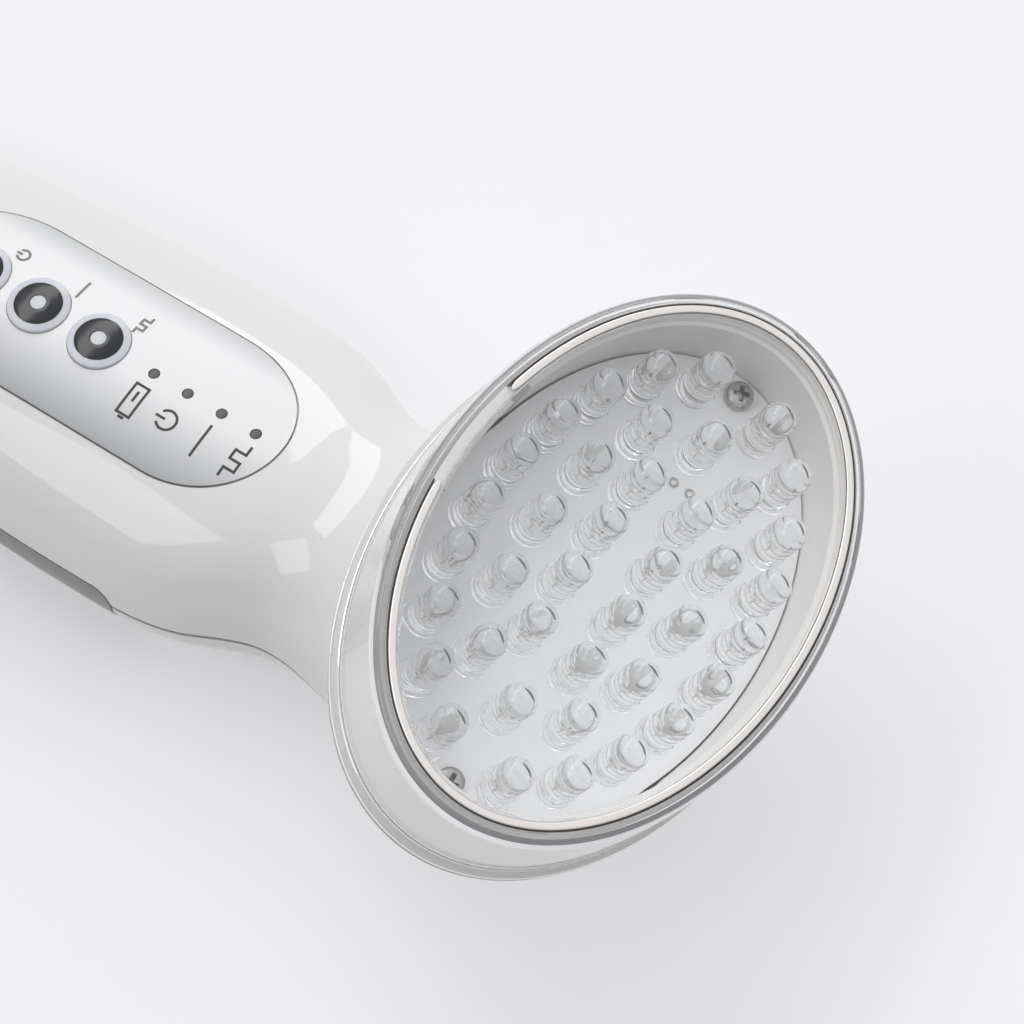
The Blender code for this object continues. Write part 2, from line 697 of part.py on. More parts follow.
def build_board_screws(head, material):
    seat = BOARD_TOP + GAP
    top = seat + BOARD_SCREW_HEAD_HEIGHT
    head_radius = BOARD_SCREW_HEAD / 2
    profile = (
        (BOARD_SCREW_SHANK / 2, GAP),
        (BOARD_SCREW_SHANK / 2, seat),
        (head_radius, seat),
        (head_radius, seat + BOARD_SCREW_HEAD_HEIGHT / 2),
        (head_radius * 0.7, top),
    )
    depth = BOARD_SCREW_HEAD_HEIGHT * 0.6
    for name, end in (("lamp_board_screw_left", 1), ("lamp_board_screw_right", -1)):
        screw = add_object(name, turned(name, profile, 10), material, head)
        screw.location = (0, end * BOARD_SCREW_PLACE, 0)
        for index, blade in enumerate(cross_recess(name, BOARD_SCREW_HEAD, depth, top)):
            slot = helper(f"{name}_slot_{index + 1}", blade, head)
            slot.location = screw.location
            cut(screw, slot)


# Housing
def build_shared_cutters():
    reach = TAIL_REACH + FRONT_REACH
    side = RIM_HALF_LENGTH + OVERRUN
    height = HEAD_HEIGHT * 2
    far = (reach, side, height)
    near = (-reach, -side, -height)
    return {
        "wall_middle": helper("wall_middle", body_mesh("wall_middle", SHELL_WALL / 2)),
        "lower_wall_middle": helper("lower_wall_middle", body_mesh(
            "lower_wall_middle", LOWER_INSET - LOWER_WALL / 2)),
        "below_seam": helper("below_seam", box_mesh(
            "below_seam", near, (reach, side, SEAM_HEIGHT + GAP / 2))),
        "above_seam": helper("above_seam", box_mesh(
            "above_seam", (-reach, -side, SEAM_HEIGHT - GAP / 2), far)),
    }


def build_grip(material):
    grip = add_object("rear_grip", hollow_mesh("rear_grip", 0, GRIP_THICKNESS), material)
    side = HANDLE_HALF_WIDTH + OVERRUN
    reach = helper("grip_reach", prism_mesh("grip_reach", grip_outline(0.0), -side, side, "Y"))
    keep_inside(grip, reach)
    return grip


def build_grip_recess():
    """The layer that both shells leave free for the grip."""
    side = HANDLE_HALF_WIDTH + OVERRUN
    layer = hollow_mesh("grip_recess", -GRIP_THICKNESS, 2 * GRIP_THICKNESS + GAP)
    recess = helper("grip_recess", layer)
    reach = prism_mesh("grip_recess_reach", grip_outline(GAP), -side, side, "Y")
    keep_inside(recess, helper("grip_recess_reach", reach))
    return recess


def socket_hole():
    radius = SOCKET_NOSE_DIAMETER / 2 + GAP
    length = SOCKET_NOSE_LENGTH + OVERRUN
    hole = turned("socket_hole", ((radius, -length), (radius, length)), 20)
    return moved(hole, (TAIL_X, 0, SEAM_HEIGHT), Matrix.Rotation(math.pi / 2, 4, "Y"))


def build_upper_shell(tools, recess, material):
    shell = add_object("upper_shell", hollow_mesh("upper_shell", 0, SHELL_WALL), material)
    posts = []
    for _, x, y in case_screw_places():
        radius = CASE_POST_DIAMETER / 2
        post = turned("post", ((radius, SEAM_HEIGHT), (radius, HANDLE_TOP)), 12)
        posts.append(moved(post, (x, y, 0)))
    for _, x, y in control_screw_places():
        radius = CONTROL_SCREW_HEAD / 2
        post = turned("post", ((radius, CONTROL_TOP + GAP), (radius, HANDLE_TOP)), 10)
        posts.append(moved(post, (x, y, 0)))
    added = helper("upper_shell_posts", joined("upper_shell_posts", posts))
    keep_inside(added, tools["wall_middle"])
    fuse(shell, added)
    cut(shell, tools["below_seam"])
    cut(shell, recess)
    bed = helper("panel_bed", prism_mesh(
        "panel_bed", panel_outline(GAP), HANDLE_AXIS_HEIGHT, HANDLE_TOP + OVERRUN))
    bed_floor = helper("panel_bed_floor", body_mesh("panel_bed_floor", PANEL_THICKNESS - PANEL_PROUD + GAP))
    cut(bed, bed_floor)
    cut(shell, bed)
    holes = [socket_hole()]
    for _, x in key_places():
        radius = KEY_DIAMETER / 2 + GAP
        hole = turned("hole", ((radius, CONTROL_TOP), (radius, HANDLE_TOP + OVERRUN)), 16)
        holes.append(moved(hole, (x, 0, 0)))
    for _, x in light_places():
        radius = LIGHT_DIAMETER / 2 + GAP
        hole = turned("hole", ((radius, CONTROL_TOP), (radius, HANDLE_TOP + OVERRUN)), 10)
        holes.append(moved(hole, (x, 0, 0)))
    pilot = CASE_SCREW_SHANK / 2 + GAP
    screw_tip = CASE_HEAD_SEAT + CASE_SCREW_LENGTH + GAP
    for _, x, y in case_screw_places():
        holes.append(moved(turned("pilot", ((pilot, 0), (pilot, screw_tip)), 8), (x, y, 0)))
    for _, x, y in control_screw_places():
        pilot = BOARD_SCREW_SHANK / 2 + GAP
        tip = CONTROL_TOP + CONTROL_THICKNESS * 2
        holes.append(moved(turned("pilot", ((pilot, CONTROL_TOP), (pilot, tip)), 8), (x, y, 0)))
    cut(shell, helper("upper_shell_holes", joined("upper_shell_holes", holes)))
    return shell


def build_lower_shell(tools, recess, material):
    shell = add_object("lower_shell", hollow_mesh("lower_shell", 0, LOWER_INSET), material)
    added = []
    for _, x, y in case_screw_places():
        radius = CASE_BOSS_DIAMETER / 2
        added.append(moved(turned("boss", ((radius, 0), (radius, SEAM_HEIGHT)), 12), (x, y, 0)))
    half_span = BATTERY_DIAMETER / 2 + SADDLE_SIDE
    for end in (-1, 1):
        middle = HEAD_X - BATTERY_PLACE + end * BATTERY_LENGTH / 2 * SADDLE_SPREAD_SHARE
        added.append(box_mesh(
            "saddle",
            (middle - SADDLE_WIDTH / 2, -half_span, 0),
            (middle + SADDLE_WIDTH / 2, half_span, BATTERY_AXIS_HEIGHT),
        ))
    back = TAIL_X + SOCKET_INSET + SOCKET_NOSE_LENGTH
    added.append(box_mesh(
        "socket_seat",
        (back, -SOCKET_WIDTH / 2, 0),
        (back + SOCKET_LENGTH / 2, SOCKET_WIDTH / 2, SEAM_HEIGHT - SOCKET_HEIGHT / 2 - GAP),
    ))
    lumps = helper("lower_shell_bosses", joined("lower_shell_bosses", added))
    keep_inside(lumps, tools["lower_wall_middle"])
    fuse(shell, lumps)
    cut(shell, tools["above_seam"])
    cut(shell, recess)
    holes = [socket_hole()]
    bed = turned("battery_bed", (
        (BATTERY_DIAMETER / 2 + GAP, -BATTERY_LENGTH / 2 - GAP),
        (BATTERY_DIAMETER / 2 + GAP, BATTERY_LENGTH / 2 + GAP),
    ), 24)
    bed_place = (HEAD_X - BATTERY_PLACE, 0, BATTERY_AXIS_HEIGHT)
    holes.append(moved(bed, bed_place, Matrix.Rotation(math.pi / 2, 4, "Y")))
    for _, x, y in case_screw_places():
        shank = CASE_SCREW_SHANK / 2 + GAP
        head = CASE_SCREW_HEAD / 2 + GAP
        profile = (
            (head, -OVERRUN),
            (head, CASE_HEAD_SEAT - GAP),
            (shank, CASE_HEAD_SEAT - GAP),
            (shank, SEAM_HEIGHT + OVERRUN),
        )
        holes.append(moved(turned("screw_hole", profile, 12), (x, y, 0)))
    cut(shell, helper("lower_shell_holes", joined("lower_shell_holes", holes)))
    return shell


def build_case_screws(material):
    head_radius = CASE_SCREW_HEAD / 2
    shank_radius = CASE_SCREW_SHANK / 2
    seat = CASE_HEAD_SEAT - GAP * 2
    low = seat - CASE_SCREW_HEAD_HEIGHT
    profile = (
        (head_radius * 0.75, low),
        (head_radius, low + CASE_SCREW_HEAD_HEIGHT / 2),
        (head_radius, seat),
        (shank_radius, seat),
        (shank_radius, seat + CASE_SCREW_LENGTH - shank_radius),
        (shank_radius / 3, seat + CASE_SCREW_LENGTH),
    )
    for name, x, y in case_screw_places():
        node = f"case_screw_{name}"
        screw = add_object(node, turned(node, profile, 8), material)
        screw.location = (x, y, 0)
        depth = CASE_SCREW_HEAD_HEIGHT * 0.6
        for index, blade in enumerate(cross_recess(node, CASE_SCREW_HEAD, depth, low + depth)):
            slot = helper(f"{node}_slot_{index + 1}", blade)
            slot.location = (x, y, -GAP)
            cut(screw, slot)


# Key panel
def build_label_plate(material):
    plate = add_object("label_plate", body_mesh("label_plate", -PANEL_PROUD), material)
    outline = helper("label_outline", prism_mesh(
        "label_outline", panel_outline(0.0), HANDLE_AXIS_HEIGHT, HANDLE_TOP + OVERRUN))
    under = helper("label_underside", body_mesh("label_underside", PANEL_THICKNESS - PANEL_PROUD))
    keep_inside(plate, outline)
    cut(plate, under)
    holes = []
    for _, x in key_places():
        radius = KEY_DIAMETER / 2 + GAP
        hole = turned("hole", ((radius, SEAM_HEIGHT), (radius, HANDLE_TOP + OVERRUN)), 16)
        holes.append(moved(hole, (x, 0, 0)))
    for _, x in light_places():
        radius = LIGHT_DIAMETER / 2 + GAP
        hole = turned("hole", ((radius, SEAM_HEIGHT), (radius, HANDLE_TOP + OVERRUN)), 10)
        holes.append(moved(hole, (x, 0, 0)))
    cut(plate, helper("label_holes", joined("label_holes", holes)))
    return plate


def key_dome_height(radius):
    """Height of a key's convex face over the handle's top line."""
    share = radius / (KEY_DIAMETER / 2)
    return KEY_PROUD + KEY_CROWN * (1 - share * share)


def build_keys(cap_material, ring_material):
    radius = KEY_DIAMETER / 2
    flange_edge = KEY_FLANGE_DIAMETER / 2
    flange_top = KEY_FLANGE_TOP - HANDLE_TOP
    flange_low = KEY_FLANGE_LOW - HANDLE_TOP
    stem_low = KEY_STEM_LOW - HANDLE_TOP
    ring_outer = KEY_RING_OUTER / 2
    ring_inner = KEY_RING_INNER / 2
    groove_outer = ring_outer + KEY_RING_CLEARANCE
    groove_inner = ring_inner - KEY_RING_CLEARANCE
    groove_floor = key_dome_height(ring_outer) - KEY_RING_THICKNESS - KEY_RING_CLEARANCE
    cap_profile = (
        (KEY_STEM_DIAMETER / 2, stem_low),
        (KEY_STEM_DIAMETER / 2, flange_low),
        (flange_edge, flange_low),
        (flange_edge, flange_top),
        (radius, flange_top),
        (radius, KEY_PROUD - KEY_RING_CLEARANCE),
        (radius - KEY_RING_CLEARANCE, key_dome_height(radius)),
        (groove_outer, key_dome_height(groove_outer)),
        (groove_outer, groove_floor),
        (groove_inner, groove_floor),
        (groove_inner, key_dome_height(groove_inner)),
        (groove_inner / 2, key_dome_height(groove_inner / 2)),
    )
    middle = (ring_outer + ring_inner) / 2
    ring_profile = (
        (ring_inner, groove_floor + KEY_RING_CLEARANCE),
        (ring_outer, groove_floor + KEY_RING_CLEARANCE),
        (ring_outer, key_dome_height(ring_outer)),
        (middle, key_dome_height(middle)),
        (ring_inner, key_dome_height(ring_inner)),
    )
    for name, x in key_places():
        key = add_object(f"key_{name}", turned(f"key_{name}", cap_profile, 12), cap_material)
        key.location = (x, 0, HANDLE_TOP)
        ring_mesh = turned_loop(f"key_ring_{name}", ring_profile, 12)
        ring = add_object(f"key_ring_{name}", ring_mesh, ring_material)
        ring.location = (x, 0, HANDLE_TOP)


def build_lights(material):
    under = HANDLE_TOP - SHELL_WALL - GAP
    low = CONTROL_TOP + INDICATOR_HEIGHT + GAP
    profile = (
        (LIGHT_FLANGE_DIAMETER / 2, low),
        (LIGHT_FLANGE_DIAMETER / 2, under - GAP),
        (LIGHT_DIAMETER / 2, under - GAP),
        (LIGHT_DIAMETER / 2, HANDLE_TOP + PANEL_PROUD),
    )
    for name, x in light_places():
        light = add_object(f"light_pipe_{name}", turned(f"light_pipe_{name}", profile, 8), material)
        light.location = (x, 0, 0)


# Inside
def control_middle():
    return PANEL_X - PANEL_HALF_LENGTH + CONTROL_LENGTH / 2 - GAP


def control_screw_places():
    half = CONTROL_LENGTH / 2 - CONTROL_SCREW_INSET
    return (
        ("rear", control_middle() - half, CONTROL_SCREW_SPREAD),
        ("front", control_middle() + half, -CONTROL_SCREW_SPREAD),
    )


def build_control_board(material):
    middle = control_middle()
    low = CONTROL_TOP - CONTROL_THICKNESS
    board = add_object("control_board", box_mesh(
        "control_board",
        (middle - CONTROL_LENGTH / 2, -CONTROL_WIDTH / 2, low),
        (middle + CONTROL_LENGTH / 2, CONTROL_WIDTH / 2, CONTROL_TOP),
    ), material)
    lumps = []
    for _, x in light_places():
        half = INDICATOR_SIDE / 2
        lumps.append(box_mesh(
            "indicator",
            (x - half, -half, CONTROL_TOP - GAP),
            (x + half, half, CONTROL_TOP + INDICATOR_HEIGHT),
        ))
    half = DRIVER_CHIP_SIDE / 2
    across = CONTROL_WIDTH / 2 - DRIVER_CHIP_SIDE / 2 - GAP * 2
    for x in (light_places()[1][1], key_places()[1][1]):
        lumps.append(box_mesh(
            "chip",
            (x - half, across - half, CONTROL_TOP - GAP),
            (x + half, across + half, CONTROL_TOP + DRIVER_CHIP_HEIGHT),
        ))
    fuse(board, helper("control_board_parts", joined("control_board_parts", lumps)))
    holes = []
    for _, x, y in control_screw_places():
        radius = BOARD_SCREW_SHANK / 2 + GAP
        holes.append(moved(turned("hole", ((radius, low - GAP), (radius, CONTROL_TOP + GAP)), 12), (x, y, 0)))
    cut(board, helper("control_board_holes", joined("control_board_holes", holes)))
    return board


def build_control_screws(material):
    seat = CONTROL_TOP - CONTROL_THICKNESS - GAP
    radius = CONTROL_SCREW_HEAD / 2
    profile = (
        (radius * 0.7, seat - BOARD_SCREW_HEAD_HEIGHT),
        (radius, seat - BOARD_SCREW_HEAD_HEIGHT / 2),
        (radius, seat),
        (BOARD_SCREW_SHANK / 2, seat),
        (BOARD_SCREW_SHANK / 2, CONTROL_TOP + CONTROL_THICKNESS * 1.5),
    )
    for name, x, y in control_screw_places():
        node = f"control_board_screw_{name}"
        screw = add_object(node, turned(node, profile, 8), material)
        screw.location = (x, y, 0)


def build_switches(material):
    half = SWITCH_SIDE / 2
    low = CONTROL_TOP + GAP
    for name, x in key_places():
        switch = add_object(f"switch_{name}", box_mesh(
            f"switch_{name}", (-half, -half, low), (half, half, low + SWITCH_HEIGHT)), material)
        switch.location = (x, 0, 0)
        radius = SWITCH_PLUNGER / 2
        plunger = helper(f"switch_{name}_plunger", turned(
            "plunger",
            ((radius, low + SWITCH_HEIGHT / 2), (radius, low + SWITCH_HEIGHT + SWITCH_PLUNGER_HEIGHT)),
            14,
        ))
        plunger.location = switch.location
        fuse(switch, plunger)


def build_battery(material):
    radius = BATTERY_DIAMETER / 2
    half = BATTERY_LENGTH / 2
    shoulder = half - BATTERY_TIP_HEIGHT
    profile = (
        (radius - BATTERY_CAN_ROUND, -half),
        (radius, -half + BATTERY_CAN_ROUND),
        (radius, shoulder - BATTERY_CAN_ROUND),
        (radius - BATTERY_CAN_ROUND, shoulder),
        (BATTERY_TIP_DIAMETER / 2, shoulder),
        (BATTERY_TIP_DIAMETER / 2, half),
    )
    battery = add_object("battery", turned("battery", profile, 16), material)
    battery.location = (HEAD_X - BATTERY_PLACE, 0, BATTERY_AXIS_HEIGHT)
    battery.rotation_euler = (0, math.pi / 2, 0)
    return battery


def build_socket(material):
    front = TAIL_X + SOCKET_INSET
    back = front + SOCKET_NOSE_LENGTH
    socket = add_object("charge_socket", box_mesh(
        "charge_socket",
        (back, -SOCKET_WIDTH / 2, -SOCKET_HEIGHT / 2),
        (back + SOCKET_LENGTH, SOCKET_WIDTH / 2, SOCKET_HEIGHT / 2),
    ), material)
    socket.location = (0, 0, SEAM_HEIGHT)
    quarter = Matrix.Rotation(math.pi / 2, 4, "Y")
    nose_radius = SOCKET_NOSE_DIAMETER / 2
    nose_length = SOCKET_NOSE_LENGTH + GAP
    nose = helper("charge_socket_nose", turned("nose", ((nose_radius, 0), (nose_radius, nose_length)), 20))
    nose.data.transform(Matrix.Translation((front, 0, 0)) @ quarter)
    nose.location = socket.location
    fuse(socket, nose)
    bore_radius = SOCKET_BORE / 2
    pin_radius = SOCKET_PIN / 2
    bore = helper("charge_socket_bore", turned("bore", (
        (bore_radius, -GAP),
        (bore_radius, SOCKET_BORE_DEPTH),
        (pin_radius, SOCKET_BORE_DEPTH),
        (pin_radius, SOCKET_PIN_INSET),
    ), 16))
    bore.data.transform(Matrix.Translation((front, 0, 0)) @ quarter)
    bore.location = socket.location
    cut(socket, bore)
    return socket


def build_lead(name, points, diameter, material):
    """A lead as a tube on a smooth curve through its route's points."""
    reaches = [0.0]
    for start, end in zip(points, points[1:]):
        reaches.append(reaches[-1] + (Vector(end) - Vector(start)).length)
    length = reaches[-1]
    rows = [(reach / length, *point) for reach, point in zip(reaches, points)]
    count = max(int(length / (diameter * 2)), len(points)) + 1
    curve = bpy.data.curves.new(name, "CURVE")
    curve.dimensions = "3D"
    curve.bevel_depth = diameter / 2
    curve.bevel_resolution = 1
    curve.use_fill_caps = True
    spline = curve.splines.new("POLY")
    spline.points.add(count - 1)
    for index in range(count):
        spline.points[index].co = (*smooth_row(rows, index / (count - 1)), 1.0)
    item = bpy.data.objects.new(name, curve)
    bpy.context.scene.collection.objects.link(item)
    curve.materials.append(material)
    return item


def build_leads(lamp_material, power_material):
    board_end = control_middle() + CONTROL_LENGTH / 2
    board_rear = control_middle() - CONTROL_LENGTH / 2
    board_level = CONTROL_TOP - CONTROL_THICKNESS / 2
    lamp_end = HEAD_CENTRE + HEAD_NORMAL * (BOARD_TOP - BOARD_THICKNESS - GAP)
    lamp_entry = HEAD_CENTRE - HEAD_NORMAL * NECK_END_PULL
    lamp_start = Vector((board_end + GAP, 0, board_level))
    bend = (lamp_start + lamp_entry) / 2 - HEAD_NORMAL * LAMP_LEAD_DIAMETER * 2
    build_lead("lamp_lead", (
        tuple(lamp_start),
        tuple(lamp_start + Vector((LAMP_LEAD_DIAMETER * 2, 0, 0))),
        tuple(bend),
        tuple(lamp_entry),
        tuple(HEAD_CENTRE),
        tuple(lamp_end),
    ), LAMP_LEAD_DIAMETER, lamp_material)
    battery_end = HEAD_X - BATTERY_PLACE + BATTERY_LENGTH / 2 + GAP
    rise = battery_end + POWER_LEAD_DIAMETER * 4
    board_under = CONTROL_TOP - CONTROL_THICKNESS - GAP
    build_lead("battery_lead", (
        (battery_end, 0, BATTERY_AXIS_HEIGHT),
        (battery_end + POWER_LEAD_DIAMETER * 2, 0, BATTERY_AXIS_HEIGHT),
        (rise, 0, (BATTERY_AXIS_HEIGHT + board_under) / 2),
        (rise, 0, board_under - POWER_LEAD_DIAMETER),
        (rise, 0, board_under),
    ), POWER_LEAD_DIAMETER, power_material)
    battery_rear = HEAD_X - BATTERY_PLACE - BATTERY_LENGTH / 2
    socket_end = TAIL_X + SOCKET_INSET + SOCKET_NOSE_LENGTH + SOCKET_LENGTH + GAP
    build_lead("socket_lead", (
        (socket_end, 0, SEAM_HEIGHT),
        (socket_end + POWER_LEAD_DIAMETER * 2, 0, SEAM_HEIGHT),
        ((socket_end + battery_rear) / 2, 0, (SEAM_HEIGHT + board_level) / 2),
        (battery_rear, 0, board_level),
        (board_rear - POWER_LEAD_DIAMETER * 2, 0, board_level),
        (board_rear - GAP, 0, board_level),
    ), POWER_LEAD_DIAMETER, power_material)


def main():
    clear_scene()
    white = make_material("white_gloss_plastic", (0.9, 0.89, 0.885), 0.16)
    well_white = make_material("warm_white_plastic", (0.8, 0.785, 0.765), 0.38)
    clear = make_material("clear_plastic", (0.95, 0.96, 0.97), 0.04, transmission=0.9)
    steel_ring = make_material("satin_steel", (0.86, 0.83, 0.79), 0.32, 1.0)
    board_white = make_material("white_board", (0.84, 0.87, 0.9), 0.3)
    screw_steel = make_material("screw_steel", (0.55, 0.54, 0.52), 0.35, 1.0)
    silver = make_material("silver_label", (0.72, 0.75, 0.78), 0.42, 0.4)
    key_grey = make_material("key_translucent_grey", (0.78, 0.8, 0.85), 0.35)
    key_black = make_material("key_black_gloss", (0.03, 0.035, 0.04), 0.12)
    lens_grey = make_material("lens_grey", (0.2, 0.21, 0.22), 0.4)
    grip_grey = make_material("grip_grey", (0.33, 0.33, 0.34), 0.45)
    board_green = make_material("board_green", (0.05, 0.22, 0.12), 0.5)
    black = make_material("black_plastic", (0.03, 0.03, 0.03), 0.45)
    can_blue = make_material("cell_wrap", (0.12, 0.2, 0.42), 0.4)
    lead_grey = make_material("lead_grey", (0.6, 0.6, 0.6), 0.5)
    lead_red = make_material("lead_red", (0.55, 0.05, 0.05), 0.5)

    head = bpy.data.objects.new("head_frame", None)
    bpy.context.scene.collection.objects.link(head)
    head.location = HEAD_CENTRE
    head.rotation_euler = (0, HEAD_TILT, 0)

    tools = build_shared_cutters()
    recess = build_grip_recess()
    build_upper_shell(tools, recess, white)
    build_lower_shell(tools, recess, white)
    build_grip(grip_grey)
    build_cap(head, clear)
    build_front_ring(head, steel_ring)
    build_lamp_well(head, well_white)
    build_lamp_board(head, board_white)
    build_board_screws(head, screw_steel)
    build_label_plate(silver)
    build_keys(key_grey, key_black)
    build_lights(lens_grey)
    build_control_board(board_green)
    build_control_screws(screw_steel)
    build_switches(black)
    build_battery(can_blue)
    build_socket(black)
    build_case_screws(screw_steel)
    build_leads(lead_grey, lead_red)


main()
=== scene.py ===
"""Visible pieces of a hand-held light therapy device, laid out as a Blender add-on.

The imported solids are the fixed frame. Each operator makes one piece, or a group of like pieces,
from the same sections and places as the solids, with finer curves and a procedural finish.
Lengths are in metres. +X runs from the tail to the head, +Y across, +Z up.
"""
import json
import math
import random

import bmesh
import bpy
from mathutils import Matrix, Vector
from mathutils.bvhtree import BVHTree
from mathutils.geometry import barycentric_transform

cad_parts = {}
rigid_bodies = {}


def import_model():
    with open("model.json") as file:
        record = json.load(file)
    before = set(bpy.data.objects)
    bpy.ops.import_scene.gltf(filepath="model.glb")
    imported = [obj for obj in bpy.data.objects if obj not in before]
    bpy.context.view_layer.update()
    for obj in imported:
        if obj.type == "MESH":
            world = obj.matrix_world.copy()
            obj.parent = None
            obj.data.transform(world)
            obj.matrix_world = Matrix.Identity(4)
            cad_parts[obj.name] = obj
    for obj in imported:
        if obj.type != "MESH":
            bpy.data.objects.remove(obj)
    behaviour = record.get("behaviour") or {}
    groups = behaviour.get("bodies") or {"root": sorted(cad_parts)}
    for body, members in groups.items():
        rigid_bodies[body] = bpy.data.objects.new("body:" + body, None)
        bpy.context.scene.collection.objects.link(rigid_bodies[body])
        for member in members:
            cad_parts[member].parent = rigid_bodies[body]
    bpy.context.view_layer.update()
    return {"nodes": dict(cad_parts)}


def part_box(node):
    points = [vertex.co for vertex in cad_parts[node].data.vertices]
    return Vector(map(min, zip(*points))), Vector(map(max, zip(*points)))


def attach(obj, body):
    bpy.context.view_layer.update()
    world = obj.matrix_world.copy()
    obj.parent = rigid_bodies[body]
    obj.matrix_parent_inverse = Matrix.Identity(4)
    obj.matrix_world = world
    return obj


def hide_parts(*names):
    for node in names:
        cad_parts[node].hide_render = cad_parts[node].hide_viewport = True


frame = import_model()

bl_info = {
    "name": "Light Therapy Device",
    "version": (1, 0, 0),
    "blender": (4, 5, 0),
    "location": "View3D > Sidebar > Light Device",
    "description": "Builds the visible pieces of a hand-held light therapy device on its solids",
    "category": "Object",
}

MM = 0.001
FULL_TURN = 2.0 * math.pi
QUARTER_TURN = 0.5 * math.pi

# Clearance round a fitted piece, and how far a cutter runs past what it cuts
GAP = 0.3 * MM
OVERRUN = 4.0 * MM

HOUSING = "housing"

# Head frame
HEAD_TILT = math.radians(21.7)
HEAD_HEIGHT = 44.25 * MM
BOARD_TOP = 6.35 * MM
CAP_FACE_HEIGHT = 19.7 * MM
CAP_RIM_HEIGHT = 18.0 * MM
WELL_FLOOR = 2.9 * MM
BOARD_THICKNESS = 1.6 * MM
BOARD_SCREW_PLACE = 35.6 * MM
BOARD_SCREW_RADIUS = 1.1 * MM
FOOT_LIFT = 0.06 * MM

# Handle frame
HEAD_X = 72.69 * MM
HANDLE_TOP = 35.2 * MM
HANDLE_AXIS_HEIGHT = 17.4 * MM
HANDLE_HALF_HEIGHT = 17.8 * MM
SEAM_HEIGHT = 17.35 * MM
SEAM_HALF = 0.38 * MM
NECK_REACH = 50.3 * MM
NECK_START_PULL = 21.4 * MM
NECK_END_PULL = 22.9 * MM
SHELL_WALL = 2.8 * MM
LOWER_INSET = 3.6 * MM
SOCKET_RADIUS = 4.0 * MM
LIGHT_FROM_PANEL_END = 4.65 * MM
KEY_FROM_LIGHT = 10.2 * MM
HEAD_NORMAL = Vector((math.sin(HEAD_TILT), 0, math.cos(HEAD_TILT)))
HEAD_CENTRE = Vector((HEAD_X, 0, HEAD_HEIGHT))
HEAD_MATRIX = Matrix.Translation(HEAD_CENTRE) @ Matrix.Rotation(HEAD_TILT, 4, "Y")
TAIL_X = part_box("lower_shell")[0].x
NECK_X = HEAD_X - NECK_REACH
PANEL_X = (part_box("label_plate")[0].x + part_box("label_plate")[1].x) / 2
GRIP_LOW, GRIP_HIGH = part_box("rear_grip")

# A reach from the origin beyond the whole device
BEYOND = abs(TAIL_X) * 2

KEY_NAMES = ("power", "continuous", "pulse")
LIGHT_NAMES = ("charge", "power", "continuous", "pulse")

# The studio's dim side, where the dimming starts and ends along it, and its two levels as seen
DIM_SIDE = Vector((0.1, -0.45, -0.89)).normalized()
DIM_START = -0.9
DIM_END = 0.3
SEEN_BRIGHT = 0.9
SEEN_DIM = 0.42

# Camera fitted to the reference photograph
CAMERA_RIGHT = Vector((0.8282, 0.5604, -0.0097))
CAMERA_BACK = Vector((0.2820, -0.4017, 0.8713)).normalized()
CAMERA_PLACE = Vector((0.18102, -0.1705, 0.42655))

# Shares of the straight handle's length, half width and half height, from the tail's tip
HANDLE_SHARES = (
    (0.0, 0.16, 0.2),
    (0.008, 0.255, 0.32),
    (0.03, 0.43, 0.53),
    (0.075, 0.585, 0.72),
    (0.16, 0.71, 0.86),
    (0.28, 0.81, 0.945),
    (0.42, 0.894, 0.985),
    (0.56, 0.944, 1.0),
    (0.71, 0.985, 1.0),
    (0.84, 0.99, 1.0),
    (0.92, 0.973, 1.0),
    (0.97, 0.926, 1.0),
    (1.0, 0.8665, 1.0),
)

# Shares along the neck: handle, waist and rim parts of its half width, then of its half height
NECK_SHARES = (
    (0.0, 0.8665, 0.0, 0.0, 1.0, 0.0, 0.0),
    (0.05, 0.55, 0.354, 0.0, 0.8, 0.216, 0.0),
    (0.12, 0.25, 0.683, 0.0, 0.5, 0.523, 0.0),
    (0.19, 0.06, 0.926, 0.0, 0.25, 0.774, 0.0),
    (0.27, 0.0, 0.961, 0.04, 0.08, 0.953, 0.0),
    (0.4, 0.0, 0.699, 0.22, 0.0, 0.921, 0.08),
    (0.6, 0.0, 0.362, 0.5, 0.0, 0.669, 0.3),
    (0.8, 0.0, 0.133, 0.76, 0.0, 0.284, 0.66),
    (0.92, 0.0, 0.034, 0.91, 0.0, 0.08, 0.88),
    (1.0, 0.0, 0.0, 1.0, 0.0, 0.0, 1.0),
)

# Lamps of one quarter, in shares of the well's half length and half width
OUTER_LAMP_SHARES = ((0.1065, 0.784), (0.31, 0.733), (0.508, 0.631), (0.6925, 0.468), (0.8295, 0.218))
SECOND_LAMP_SHARES = ((0.0, 0.479), (0.2665, 0.447), (0.517, 0.311), (0.6165, 0.0))
INNER_LAMP_SHARES = ((0.1135, 0.184), (0.3395, 0.167))

# Two bare eyelets on the board: places across and along it, and rows of radius and height, in mm
EYELET_PLACES = ((0.0, 19.0), (2.7, 19.2))
EYELET_ROWS = ((0.35, 0.0), (0.75, 0.0), (0.75, 0.1), (0.62, 0.16), (0.46, 0.12), (0.35, 0.02))

# One ridge on a lamp: shares of the ridges' pitch, and of their height
RIDGE_SHARES = ((-0.3, 0.0), (-0.15, 0.5), (0.0, 1.0), (0.15, 0.5), (0.3, 0.0))

# Fineness of the meshes
OVAL_SIDES = 240
SKIN_SIDES = 264
HANDLE_RINGS = 80
NECK_RINGS = 60
ROUND_SIDES = 72
TAIL_CROWDING = 1.6
SHARP_ANGLE = math.radians(32.0)

# Clear plastic lets a ray straight through once it has been turned or mirrored this often, and
# leaves it this share of its light
PASSING_DEPTHS = (("Ray Depth", 9.5), ("Glossy Depth", 2.5))
PASSING_SHARE = 0.84


